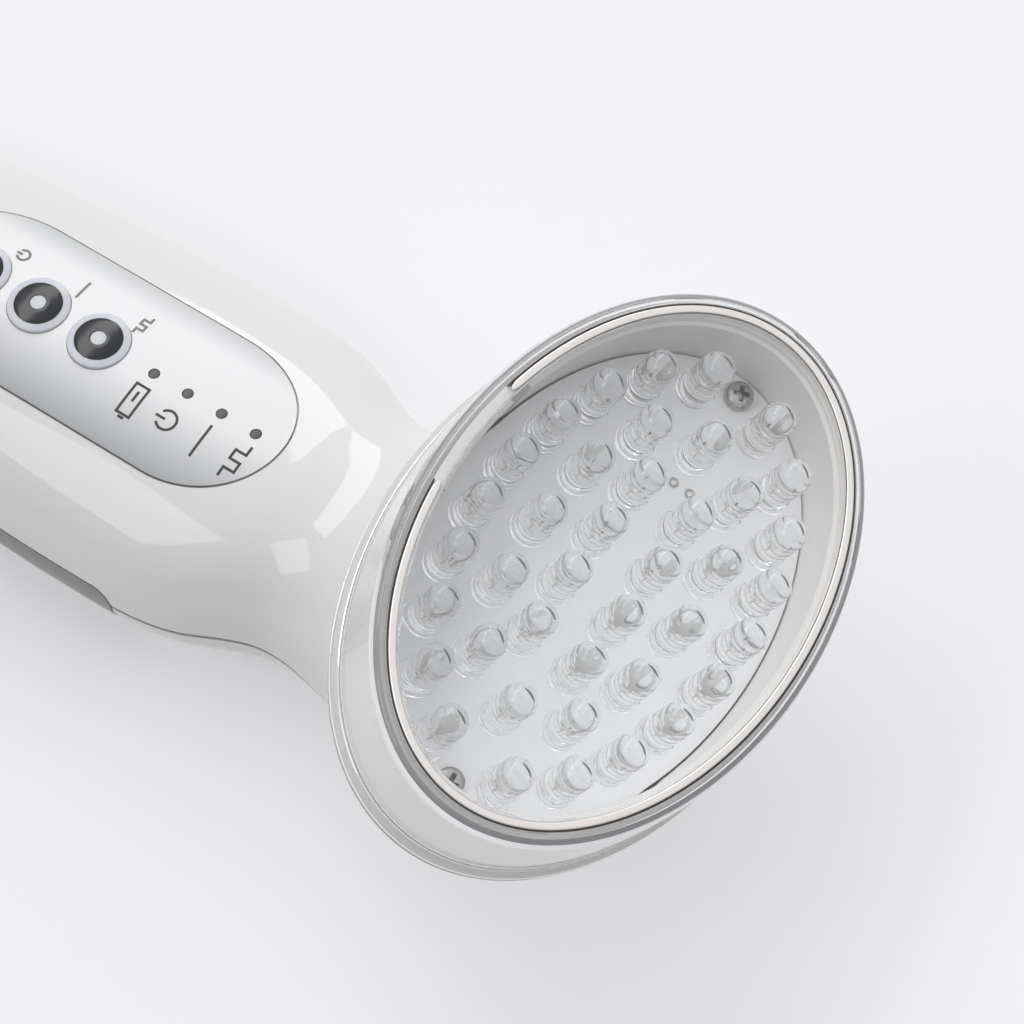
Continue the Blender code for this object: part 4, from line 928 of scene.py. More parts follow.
class LIGHTDEVICE_OT_lamp_well(bpy.types.Operator):
    """Make the warm white oval well with its stepped rim and its notches"""

    bl_idname = "light_device.lamp_well"
    bl_label = "Lamp Well"

    def execute(self, context):
        head = context.scene.light_device_head
        colours = context.scene.light_device_colours
        top = CAP_FACE_HEIGHT - head.cap_window - GAP
        floor_reach = 2.0 * MM
        step_depth = 0.9 * MM
        step_reach = 0.7 * MM
        corner_round = 0.25 * MM
        cable_radius = 3.2 * MM
        notch_half = 1.7 * MM
        length = head.well_half_length
        width = head.well_half_width
        notch_place = length * 0.25
        wall_length = head.cap_half_length - head.cap_wall - GAP - length
        wall_width = head.cap_half_width - head.cap_wall - GAP - width
        inside = rounded((
            (-floor_reach, WELL_FLOOR),
            (0.0, WELL_FLOOR),
            (0.0, top - step_depth),
            (step_reach, top - step_depth),
            (step_reach, top),
            (wall_width, top),
        ), corner_round, 3)
        rings = oval_rings(length, width, inside[:-1])
        for height in (top, GAP):
            rings.append(oval_ring(length + wall_length, width + wall_width, height))
        well = skin_rings("lamp_well", rings)
        cuts = []
        for end in (1, -1):
            middle = end * notch_place
            cuts.append(box_mesh(
                "notch",
                (-width - step_reach, middle - notch_half, BOARD_TOP),
                (-width / 2, middle + notch_half, top + OVERRUN),
            ))
        cuts.append(round_hole(cable_radius, -OVERRUN, BOARD_TOP))
        well = in_head(shaped(well, [("DIFFERENCE", joined("cuts", cuts))]))
        finish = plastic(
            "well_warm_white", colours.well_white, roughness=0.36, mottle=0.05, grain=0.00003, scale=90.0
        )
        add_piece("lamp_well_cup", well, finish, replaced=("lamp_well",))
        return {"FINISHED"}


class LIGHTDEVICE_OT_lamp_board(bpy.types.Operator):
    """Make the white lamp board with its screw holes, and two tinned eyelets on it"""

    bl_idname = "light_device.lamp_board"
    bl_label = "Lamp Board"

    def execute(self, context):
        head = context.scene.light_device_head
        colours = context.scene.light_device_colours
        low = BOARD_TOP - BOARD_THICKNESS
        edge = 2.0 * MM
        corner_round = 0.12 * MM
        rows = ((-edge, low), (0.0, low), (0.0, BOARD_TOP), (-edge, BOARD_TOP))
        section = rounded(rows, corner_round, 2)
        rings = oval_rings(head.well_half_length - GAP, head.well_half_width - GAP, section)
        board = skin_rings("lamp_board", rings)
        holes = [
            round_hole(BOARD_SCREW_RADIUS + GAP, low - GAP, BOARD_TOP + GAP, y=end * BOARD_SCREW_PLACE)
            for end in (1, -1)
        ]
        board = in_head(shaped(board, [("DIFFERENCE", joined("holes", holes))]))

        def make(name):
            finish = moulded_finish(name, tuple(colours.board_white), roughness=0.3, mottle=0.03, scale=120.0)
            finish.bump(finish.noise(2600.0, 2.0), 0.00001)
            return finish

        white = shared_finish("board_white_mask", make)
        add_piece("lamp_board_plate", board, white, replaced=("lamp_board",))

        lift = 0.01
        section = [(radius * MM, BOARD_TOP + (height + lift) * MM) for radius, height in EYELET_ROWS]
        eyelets = [
            moved(turned("eyelet", section, 32, True), (x * MM, y * MM, 0))
            for x, y in EYELET_PLACES
        ]
        tin = metal("eyelet_tin", colours.eyelet_tin, roughness=0.3)
        add_piece("board_eyelets", in_head(joined("board_eyelets", eyelets)), tin)
        return {"FINISHED"}


class LIGHTDEVICE_OT_lamps(bpy.types.Operator):
    """Make the forty clear lamps, the metal frames inside them, and a dark crescent of painted reflection in
    each dome
    """

    bl_idname = "light_device.lamps"
    bl_label = "Clear Lamps"

    def execute(self, context):
        head = context.scene.light_device_head
        colours = context.scene.light_device_colours
        radius = head.lamp_diameter / 2
        centre = BOARD_TOP + head.lamp_centre_height
        rows = self.lamp_rows(radius, head.lamp_flange_diameter / 2, centre)
        domes = []
        frames = []
        painted_crescents = []
        random.seed(40)
        for x, y in lamp_places(head):
            domes.append(moved(turned("dome", rows, 40), (x, y, 0)))
            turn = Matrix.Rotation(QUARTER_TURN + random.uniform(-0.35, 0.15), 4, "Z")
            frames.extend(moved(part, (x, y, 0), turn) for part in self.lead_frame(centre))
            turn = Matrix.Rotation(random.uniform(-0.15, 0.15), 4, "Z")
            painted_crescents.append(moved(self.flag(centre, radius), (x, y, 0), turn))
        plain = clear("lamp_clear", colours.lamp_clear, 1.56)
        add_piece("lamp_domes", in_head(joined("lamp_domes", domes)), plain)
        bright = metal("lead_frame_metal", colours.lead_metal, roughness=0.3)
        add_piece("lamp_lead_frames", in_head(joined("lamp_lead_frames", frames)), bright)
        # A dark crescent of painted reflection near the top of each dome, turned the same way in every lamp
        dark = metal("painted_crescent_metal", colours.dome_painted_crescent, roughness=0.4)
        add_piece("lamp_painted_crescents", in_head(joined("lamp_painted_crescents", painted_crescents)), dark)
        return {"FINISHED"}

    def lamp_rows(self, radius, flange, centre):
        """Rows of one lamp, from its open foot over the flange and the ridges to the dome's top."""
        foot_width = 1.0 * MM
        foot_low = BOARD_TOP + 0.05 * MM
        flange_top = BOARD_TOP + 1.3 * MM
        flange_round = 0.2 * MM
        ridge_height = 0.06 * MM
        ridges = 4
        steps = 12
        rows = [tuple(row) for row in rounded((
            (flange - foot_width, foot_low),
            (flange, foot_low),
            (flange, flange_top),
            (radius + ridge_height, flange_top),
        ), flange_round, 3)]
        pitch = (centre - flange_top) / (ridges + 0.4)
        for index in range(ridges):
            middle = flange_top + pitch * (index + 0.75)
            for offset, share in RIDGE_SHARES:
                rows.append((radius + ridge_height * share, middle + pitch * offset))
        for step in range(steps):
            angle = QUARTER_TURN * step / steps
            rows.append((radius * math.cos(angle), centre + radius * math.sin(angle)))
        return rows

    def lead_frame(self, centre):
        """The post and the cup on its arm, inside one lamp."""
        low = BOARD_TOP + 3.5 * MM
        half = 0.04 * MM
        post_inner = 1.54 * MM
        post_outer = 1.64 * MM
        post_top = centre + 0.7 * MM
        arm_half = 0.06 * MM
        cup_top = centre - 2.9 * MM
        cup_low = cup_top - 0.6 * MM
        cup_radius = 0.32 * MM
        post = box_mesh("post", (post_inner, -half, low), (post_outer, half, post_top))
        arm = box_mesh("arm", (-arm_half, -half, low), (arm_half, half, cup_low + 0.1 * MM))
        cup = turned("cup", (
            (0.15 * MM, cup_low),
            (cup_radius, cup_low + 0.15 * MM),
            (cup_radius, cup_top),
            (0.26 * MM, cup_top),
            (0.12 * MM, cup_top - 0.2 * MM),
        ), 16)
        return post, arm, cup

    def flag(self, centre, radius):
        """A dark crescent of painted reflection, close under the dome's surface."""
        middle = Vector((0.22, 0.36, 0.91))
        along = Vector((-0.94, 0.35, 0.09))
        across = Vector((0.36, 0.85, 0.4))
        most_width = 0.11
        outer = 0.96
        inner = 0.93
        steps = 10
        rings = []
        for step in range(steps + 1):
            reach = step / steps - 0.5
            half = most_width * math.sqrt(1.05 - (2 * reach) ** 2)
            ring = []
            for width, depth in ((-half, outer), (half, outer), (half, inner), (-half, inner)):
                spot = (middle + along * reach + across * width).normalized() * radius * depth
                ring.append(spot + Vector((0, 0, centre)))
            rings.append(ring)
        return skin_rings("flag", rings)


class LIGHTDEVICE_OT_board_screws(bpy.types.Operator):
    """Make the two cross-head screws in the ends of the lamp board"""

    bl_idname = "light_device.board_screws"
    bl_label = "Board Screws"

    def execute(self, context):
        head = context.scene.light_device_head
        colours = context.scene.light_device_colours
        seat = BOARD_TOP + GAP
        height = 1.4 * MM
        radius = head.screw_head / 2
        side = 0.45
        flatness = 0.7
        steps = 8
        rows = [(BOARD_SCREW_RADIUS, GAP), (BOARD_SCREW_RADIUS, seat), (radius, seat)]
        for step in range(steps):
            angle = QUARTER_TURN * step / steps
            reach = radius * math.cos(angle) ** flatness
            rows.append((reach, seat + height * (side + (1 - side) * math.sin(angle))))
        steel = screw_finish(colours)
        for name, end, turn in (("left", 1, 0.5), ("right", -1, 0.2)):
            recess = self.cross(radius * 0.58, height * 0.85, seat + height)
            screw = shaped(turned("screw", rows, 64), [("DIFFERENCE", recess)])
            turn = Matrix.Rotation(turn, 4, "Z")
            screw = in_head(moved(screw, (0, end * BOARD_SCREW_PLACE, 0), turn))
            solid = f"lamp_board_screw_{name}"
            add_piece(f"board_screw_{name}", screw, steel, replaced=(solid,))
        return {"FINISHED"}

    def cross(self, reach, depth, top):
        """A cross whose arms narrow with depth."""
        rings = []
        for level, share in ((top + GAP, 1.15), (top - depth, 0.45)):
            arm = reach * share
            blade = reach * 0.3 * (0.6 + 0.4 * share)
            quarter = [(arm, -blade), (arm, blade), (blade, blade)]
            ring = []
            for _ in range(4):
                ring.extend(Vector((x, y, level)) for x, y in quarter)
                quarter = [(-y, x) for x, y in quarter]
            rings.append(ring)
        return skin_rings("cross", rings)


# Housing
def panel_outline(sizes, grow):
    """Straight sides and half-oval ends, in plan, round the panel's middle."""
    steps = 48
    half_width = sizes.panel_half_width + grow
    end_reach = sizes.panel_end + grow
    straight = sizes.panel_half_length - sizes.panel_end
    points = []
    for side in (1, -1):
        for step in range(steps + 1):
            angle = math.pi * step / steps - math.pi / 2
            points.append((
                PANEL_X + side * (straight + end_reach * math.cos(angle)),
                side * half_width * math.sin(angle),
            ))
    return points


def grip_outline(sizes, grow):
    """Side view of the grip's reach, with round upper corners and an open lower side."""
    front = GRIP_HIGH.x + grow
    rear = GRIP_LOW.x - grow
    top = sizes.grip_top + grow
    radius = sizes.grip_corner + grow
    steps = 16
    points = [(rear, -OVERRUN), (front, -OVERRUN)]
    for centre, first in ((front - radius, 0), (rear + radius, 1)):
        for step in range(steps + 1):
            angle = QUARTER_TURN * (first + step / steps)
            points.append((centre + radius * math.cos(angle), top - radius + radius * math.sin(angle)))
    return points


def row_places(names, front, pitch):
    """Each name with its place along X, in a row whose last one is at the front."""
    last = len(names) - 1
    return [(name, front - pitch * (last - index)) for index, name in enumerate(names)]


def light_places(sizes):
    front = PANEL_X + sizes.panel_half_length - LIGHT_FROM_PANEL_END
    return row_places(LIGHT_NAMES, front, sizes.light_pitch)


def key_places(sizes):
    return row_places(KEY_NAMES, light_places(sizes)[0][1] - KEY_FROM_LIGHT, sizes.key_pitch)


def panel_holes(sizes, key_gap, light_gap, low):
    """Cutters for the keys and the lights, with a gap round each."""
    holes = []
    for _, x in key_places(sizes):
        holes.append(round_hole(sizes.key_diameter / 2 + key_gap, low, HANDLE_TOP + OVERRUN, x))
    for _, x in light_places(sizes):
        holes.append(round_hole(sizes.light_diameter / 2 + light_gap, low, HANDLE_TOP + OVERRUN, x))
    return holes


def body_mesh(name, sizes, head, inset, reduce=1):
    return skin_rings(name, body_rings(sizes, head, inset, reduce))


def hollow_mesh(name, sizes, head, inset, wall):
    """One skin of the handle and neck with a hollow that is open at the head's rim."""
    outer = body_rings(sizes, head, inset)
    inner = body_rings(sizes, head, inset + wall, 2)
    return skin_rings(name, outer + inner[::-1])


def grip_reach(sizes, grow):
    """A cutter that takes in the grip's stretch of the handle."""
    side = sizes.half_width + OVERRUN
    return prism_mesh("grip_reach", grip_outline(sizes, grow), -side, side, "Y")


def grip_recess(sizes, head):
    """The layer that both shells leave free for the grip."""
    thickness = sizes.grip_thickness
    layer = hollow_mesh("grip_recess", sizes, head, -thickness, 2 * thickness + GAP)
    return shaped(layer, [("INTERSECT", grip_reach(sizes, GAP))])


def level_block(low, high):
    """A block between two heights, wider than the device."""
    return box_mesh("level_block", (-BEYOND, -BEYOND, low), (BEYOND, BEYOND, high))


def socket_hole():
    reach = 8.0 * MM
    hole = round_hole(SOCKET_RADIUS + GAP, -reach, reach)
    return moved(hole, (TAIL_X, 0, SEAM_HEIGHT), Matrix.Rotation(QUARTER_TURN, 4, "Y"))


class LIGHTDEVICE_OT_upper_shell(bpy.types.Operator):
    """Make the glossy upper shell with the panel's bed and the holes of the keys and lights"""

    bl_idname = "light_device.upper_shell"
    bl_label = "Upper Shell"

    def execute(self, context):
        sizes = context.scene.light_device_handle
        head = context.scene.light_device_head
        colours = context.scene.light_device_colours
        shell = hollow_mesh("upper_shell", sizes, head, 0.0, SHELL_WALL)
        bed = prism_mesh("panel_bed", panel_outline(sizes, GAP), HANDLE_AXIS_HEIGHT, HANDLE_TOP + OVERRUN)
        bed_depth = sizes.panel_thickness - sizes.panel_proud + GAP
        bed = shaped(bed, [("DIFFERENCE", body_mesh("bed_floor", sizes, head, bed_depth, 2))])
        holes = [socket_hole()] + panel_holes(sizes, GAP, GAP, HANDLE_AXIS_HEIGHT)
        shell = shaped(shell, [
            ("DIFFERENCE", level_block(-BEYOND, SEAM_HEIGHT + SEAM_HALF)),
            ("DIFFERENCE", grip_recess(sizes, head)),
            ("DIFFERENCE", bed),
            ("DIFFERENCE", joined("holes", holes)),
        ])
        keep_skin_shading(shell, body_mesh("skin", sizes, head, 0.0))
        white = shell_finish(colours)
        add_piece("upper_shell_skin", shell, white, replaced=("upper_shell",))
        return {"FINISHED"}


class LIGHTDEVICE_OT_lower_shell(bpy.types.Operator):
    """Make the glossy lower shell under the seam"""

    bl_idname = "light_device.lower_shell"
    bl_label = "Lower Shell"

    def execute(self, context):
        sizes = context.scene.light_device_handle
        head = context.scene.light_device_head
        colours = context.scene.light_device_colours
        shell = hollow_mesh("lower_shell", sizes, head, 0.0, LOWER_INSET)
        shell = shaped(shell, [
            ("DIFFERENCE", level_block(SEAM_HEIGHT - SEAM_HALF, BEYOND)),
            ("DIFFERENCE", grip_recess(sizes, head)),
            ("DIFFERENCE", socket_hole()),
        ])
        keep_skin_shading(shell, body_mesh("skin", sizes, head, 0.0))
        white = shell_finish(colours)
        add_piece("lower_shell_skin", shell, white, replaced=("lower_shell",))
        return {"FINISHED"}


class LIGHTDEVICE_OT_seam_lip(bpy.types.Operator):
    """Make the thin lip that shows between the two shells, coloured dark as painted shade in the seam"""

    bl_idname = "light_device.seam_lip"
    bl_label = "Seam Lip"

    def execute(self, context):
        sizes = context.scene.light_device_handle
        head = context.scene.light_device_head
        colours = context.scene.light_device_colours
        recess = 0.06 * MM
        wall = 1.2 * MM
        half = SEAM_HALF * 0.92
        lip = shaped(hollow_mesh("seam_lip", sizes, head, recess, wall), [
            ("INTERSECT", level_block(SEAM_HEIGHT - half, SEAM_HEIGHT + half)),
            ("DIFFERENCE", grip_recess(sizes, head)),
            ("DIFFERENCE", socket_hole()),
        ])
        # The lip's dark colour is painted shade in the seam
        finish = plastic("seam_shade", colours.seam_painted_shade, roughness=0.5, mottle=0.06, scale=300.0)
        add_piece("seam_lip", lip, finish)
        return {"FINISHED"}


class LIGHTDEVICE_OT_rear_grip(bpy.types.Operator):
    """Make the satin grey grip wrapped round the underside"""

    bl_idname = "light_device.rear_grip"
    bl_label = "Rear Grip"

    def execute(self, context):
        sizes = context.scene.light_device_handle
        head = context.scene.light_device_head
        colours = context.scene.light_device_colours
        layer = hollow_mesh("rear_grip", sizes, head, 0.0, sizes.grip_thickness)
        grip = shaped(layer, [("INTERSECT", grip_reach(sizes, 0.0))])
        keep_skin_shading(grip, body_mesh("skin", sizes, head, 0.0))
        finish = plastic(
            "grip_satin_grey", colours.grip_grey, roughness=0.32, mottle=0.05, grain=0.00002, scale=200.0
        )
        add_piece("rear_grip_skin", grip, finish, replaced=("rear_grip",))
        return {"FINISHED"}


# Key panel
class LIGHTDEVICE_OT_label_plate(bpy.types.Operator):
    """Make the satin silver key panel"""

    bl_idname = "light_device.label_plate"
    bl_label = "Key Panel"

    def execute(self, context):
        sizes = context.scene.light_device_handle
        head = context.scene.light_device_head
        key_gap = 0.08 * MM
        light_gap = 0.05 * MM
        skin = body_mesh("panel_skin", sizes, head, -sizes.panel_proud)
        outline = panel_outline(sizes, 0.0)
        cutter = prism_mesh("panel_outline", outline, HANDLE_AXIS_HEIGHT, HANDLE_TOP + OVERRUN)
        under = body_mesh("panel_under", sizes, head, sizes.panel_thickness - sizes.panel_proud, 2)
        holes = panel_holes(sizes, key_gap, light_gap, SEAM_HEIGHT)
        plate = shaped(skin.copy(), [
            ("INTERSECT", cutter),
            ("DIFFERENCE", under),
            ("DIFFERENCE", joined("holes", holes)),
        ])
        keep_skin_shading(plate, skin)
        finish = shared_finish("panel_silver", lambda name: self.silver(name, context.scene))
        add_piece("panel_plate", plate, finish, replaced=("label_plate",))
        return {"FINISHED"}

    def silver(self, name, scene):
        """Grainy silver with painted shade towards the panel's two long sides, deeper on the near side."""
        colours = scene.light_device_colours
        side = scene.light_device_handle.panel_half_width
        silver = tuple(colours.panel_silver)
        dark = tuple(colours.panel_painted_shade)
        finish = Finish(name)
        split = finish.node("ShaderNodeSeparateXYZ")
        finish.link(finish.position(), split.inputs["Vector"])
        # Painted shade: half way to the dark tone on the far side, all the way on the near side
        far = finish.spread(split.outputs["Y"], 0.0, 0.5, 9.0 * MM, side)
        near = finish.spread(split.outputs["Y"], 0.0, 1.0, -2.0 * MM, -side)
        tone = finish.mixed_colour(highest(finish.tree, [far, near]), silver, dark)
        grain = finish.noise(5200.0, 2.0)
        light = finish.mixed_colour(grain, shade(silver, 0.92), shade(silver, 1.06))
        mixed = finish.mixed_colour(0.5, tone, light, "MULTIPLY")
        finish.link(mixed, finish.shader.inputs["Base Color"])
        finish.link(finish.spread(grain, 0.36, 0.48), finish.shader.inputs["Roughness"])
        finish.set(Metallic=0.35)
        finish.bump(grain, 0.000006)
        return finish


class LIGHTDEVICE_OT_panel_marks(bpy.types.Operator):
    """Print plain marks at the lights and keys: a cell, a switch sign, a line and a square wave"""

    bl_idname = "light_device.panel_marks"
    bl_label = "Panel Marks"

    def execute(self, context):
        sizes = context.scene.light_device_handle
        colours = context.scene.light_device_colours
        plate = bpy.data.objects["panel_plate"].data
        tree = BVHTree.FromPolygons([v.co for v in plate.vertices], [f.vertices for f in plate.polygons])
        for piece, places, right, up, share, colour in (
            ("panel_marks", light_places(sizes), 0.0, -5.2 * MM, 1.0, colours.print_grey),
            ("key_marks", key_places(sizes), 3.6 * MM, 6.0 * MM, 0.62, colours.print_pale),
        ):
            marks = []
            for name, x in places:
                for path, closed in self.strokes(name):
                    points = [(x + right + u * share, up + v * share) for u, v in path]
                    marks.append(self.line(sizes, tree, points, closed))
            finish = plastic(f"{piece}_print", colour, roughness=0.45, mottle=0.08, scale=900.0)
            add_piece(piece, joined(piece, marks), finish)
        return {"FINISHED"}

    def strokes(self, name):
        """Lines of one mark in its own plan, each with whether it closes on itself."""
        half = 2.6 * MM
        tall = 1.15 * MM
        if name == "charge":
            body = [(-tall, half), (tall, half), (tall, -half), (-tall, -half)]
            nub = [(-tall * 0.45, -half * 1.2), (tall * 0.45, -half * 1.2)]
            level = [(0.0, half * 0.6), (0.0, -half * 0.1)]
            return [(body, True), (nub, False), (level, False)]
        if name == "power":
            gap = 0.62
            steps = 24
            radius = tall * 1.35
            ring = []
            for step in range(steps + 1):
                angle = -QUARTER_TURN + gap + (FULL_TURN - 2 * gap) * step / steps
                ring.append((radius * math.sin(angle), radius * math.cos(angle)))
            return [(ring, False), ([(-tall * 1.7, 0.0), (-tall * 0.25, 0.0)], False)]
        if name == "continuous":
            return [([(0.0, half * 1.1), (0.0, -half * 1.1)], False)]
        wave = []
        for index in range(4):
            v = half * 1.2 - index * half * 0.6
            low = tall * (0.8 if index % 2 == 0 else -0.8)
            wave.append((low, v))
            wave.append((low, v - half * 0.6))
        return [(wave, False)]

    def fine(self, path, closed):
        """The path with points put in, so that a line follows the curved panel."""
        longest = 0.6 * MM
        points = [Vector(point) for point in path]
        ends = points[1:] + (points[:1] if closed else [])
        result = []
        for start, end in zip(points, ends):
            parts = max(1, math.ceil((end - start).length / longest))
            result.extend(start.lerp(end, part / parts) for part in range(parts))
        if not closed:
            result.append(points[-1])
        return result

    def line(self, sizes, tree, path, closed):
        """A flat printed line through the points, laid on the panel."""
        half = sizes.mark_line / 2
        sunk = -0.02 * MM
        proud = 0.03 * MM
        least_square = 0.3
        points = self.fine(path, closed)
        count = len(points)
        rows = []
        for index, point in enumerate(points):
            before = points[index - 1] if index or closed else None
            after = points[(index + 1) % count] if index < count - 1 or closed else None
            normals = []
            for start, end in ((before, point), (point, after)):
                if start is not None and end is not None:
                    way = (end - start).normalized()
                    normals.append(Vector((-way.y, way.x)))
            normal = sum(normals, Vector((0.0, 0.0))) / len(normals)
            normal = normal / max(normal.length_squared, least_square)
            row = []
            for place, lift in ((half, sunk), (half, proud), (-half, proud), (-half, sunk)):
                spot = point + normal * place
                above = Vector((spot.x, spot.y, HANDLE_TOP + OVERRUN))
                hit, _, _, _ = tree.ray_cast(above, Vector((0, 0, -1)))
                if hit is None:
                    raise RuntimeError("a mark lies off the panel")
                row.append(hit + Vector((0, 0, lift)))
            rows.append(row)
        return skin_rings("line", rows, close_loop=closed)


class LIGHTDEVICE_OT_keys(bpy.types.Operator):
    """Make the three translucent keys and their glossy black rings"""

    bl_idname = "light_device.keys"
    bl_label = "Keys"

    def execute(self, context):
        sizes = context.scene.light_device_handle
        colours = context.scene.light_device_colours
        radius = sizes.key_diameter / 2
        proud = 0.45 * MM
        crown = 0.55 * MM

        def dome(reach):
            return proud + crown * (1 - (reach / radius) ** 2)

        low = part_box("key_power")[0].z - HANDLE_TOP
        stem = 2.0 * MM
        flange = radius + 0.7 * MM
        flange_low = low + 0.6 * MM
        flange_top = flange_low + 1.0 * MM
        corner_round = 0.1 * MM
        clearance = 0.03 * MM
        outer = 3.65 * MM
        inner = 1.2 * MM
        groove_outer = outer + clearance
        groove_inner = inner - clearance
        floor = dome(groove_outer) - 0.6 * MM
        body = rounded((
            (stem, low),
            (stem, flange_low),
            (flange, flange_low),
            (flange, flange_top),
            (radius, flange_top),
            (radius, proud - 0.15 * MM),
        ), corner_round, 2)
        rows = [tuple(row) for row in body[:-1]]
        shoulder = radius - 0.18 * MM
        rows.append((radius, proud - 0.25 * MM))
        rows.append((radius - 0.05 * MM, proud - 0.06 * MM))
        rows.append((shoulder, dome(shoulder) - 0.02 * MM))
        for reach in (radius - 0.35 * MM, radius - 0.6 * MM, groove_outer):
            rows.append((reach, dome(reach)))
        rows.append((groove_outer, floor))
        rows.append((groove_inner, floor))
        for share in (1.0, 0.7, 0.4, 0.1):
            rows.append((groove_inner * share, dome(groove_inner * share)))

        steps = 8
        edge_sink = 0.05 * MM
        ring_floor = floor + 0.1 * MM
        ring_rows = [(inner, ring_floor), (outer, ring_floor)]
        for step in range(steps + 1):
            reach = outer + (inner - outer) * step / steps
            sink = edge_sink if step in (0, steps) else 0.0
            ring_rows.append((reach, dome(reach) - sink))

        def make_key(name):
            finish = moulded_finish(
                name, tuple(colours.key_grey), roughness=0.3, mottle=0.03, grain=0.00001, scale=400.0
            )
            depths = (1.2 * MM, 1.2 * MM, 1.4 * MM)
            finish.set(Subsurface_Weight=0.35, Subsurface_Radius=depths, Subsurface_Scale=1.0)
            return finish

        grey = shared_finish("key_translucent", make_key)
        black = plastic("key_ring_black", colours.key_black, roughness=0.16, mottle=0.1, scale=500.0)
        for name, x in key_places(sizes):
            body = f"key_{name}"
            key = moved(turned("key", rows, 96), (x, 0, HANDLE_TOP))
            add_piece(f"key_cap_{name}", key, grey, body, (body,))
            ring = moved(turned("ring", ring_rows, 96, True), (x, 0, HANDLE_TOP))
            add_piece(f"key_insert_{name}", ring, black, body, (f"key_ring_{name}",))
        return {"FINISHED"}


class LIGHTDEVICE_OT_lights(bpy.types.Operator):
    """Make the four small indicator lenses"""

    bl_idname = "light_device.lights"
    bl_label = "Indicator Lenses"

    def execute(self, context):
        sizes = context.scene.light_device_handle
        colours = context.scene.light_device_colours
        low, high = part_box("light_pipe_charge")
        radius = sizes.light_diameter / 2
        flange = 1.6 * MM
        flange_top = HANDLE_TOP - SHELL_WALL - 2 * GAP
        crown = 0.12 * MM
        steps = 6
        rows = [(flange, low.z), (flange, flange_top), (radius, flange_top)]
        for step in range(steps):
            angle = QUARTER_TURN * step / steps
            rows.append((radius * math.cos(angle), high.z - crown + crown * math.sin(angle)))
        finish = plastic("lens_smoke_grey", colours.lens_grey, roughness=0.32, mottle=0.06, scale=700.0)
        for name, x in light_places(sizes):
            lens = moved(turned("lens", rows, 40), (x, 0, 0))
            add_piece(f"light_lens_{name}", lens, finish, replaced=(f"light_pipe_{name}",))
        return {"FINISHED"}


class LIGHTDEVICE_OT_inner_finishes(bpy.types.Operator):
    """Give the solids that stay inside the housing their finishes"""

    bl_idname = "light_device.inner_finishes"
    bl_label = "Inner Finishes"

    def execute(self, context):
        colours = context.scene.light_device_colours
        switches = [f"switch_{name}" for name in KEY_NAMES]
        for name, colour, roughness, nodes in (
            ("black_moulding", (0.03, 0.03, 0.032), 0.42, ["charge_socket"] + switches),
            ("control_board_mask", (0.05, 0.22, 0.12), 0.4, ["control_board"]),
            ("cell_sleeve", (0.12, 0.2, 0.42), 0.35, ["battery"]),
            ("lead_sleeve_grey", (0.6, 0.6, 0.6), 0.5, ["lamp_lead"]),
            ("lead_sleeve_red", (0.55, 0.05, 0.05), 0.5, ["battery_lead", "socket_lead"]),
        ):
            finish = plastic(name, colour, roughness=roughness, mottle=0.08, grain=0.00001, scale=300.0)
            self.dress(nodes, finish)
        hidden = ("case_screw", "control_board_screw")
        self.dress([node for node in frame["nodes"] if node.startswith(hidden)], screw_finish(colours))
        return {"FINISHED"}

    def dress(self, nodes, finish):
        for node in nodes:
            for entry in frame["nodes"][node].material_slots:
                entry.material = finish


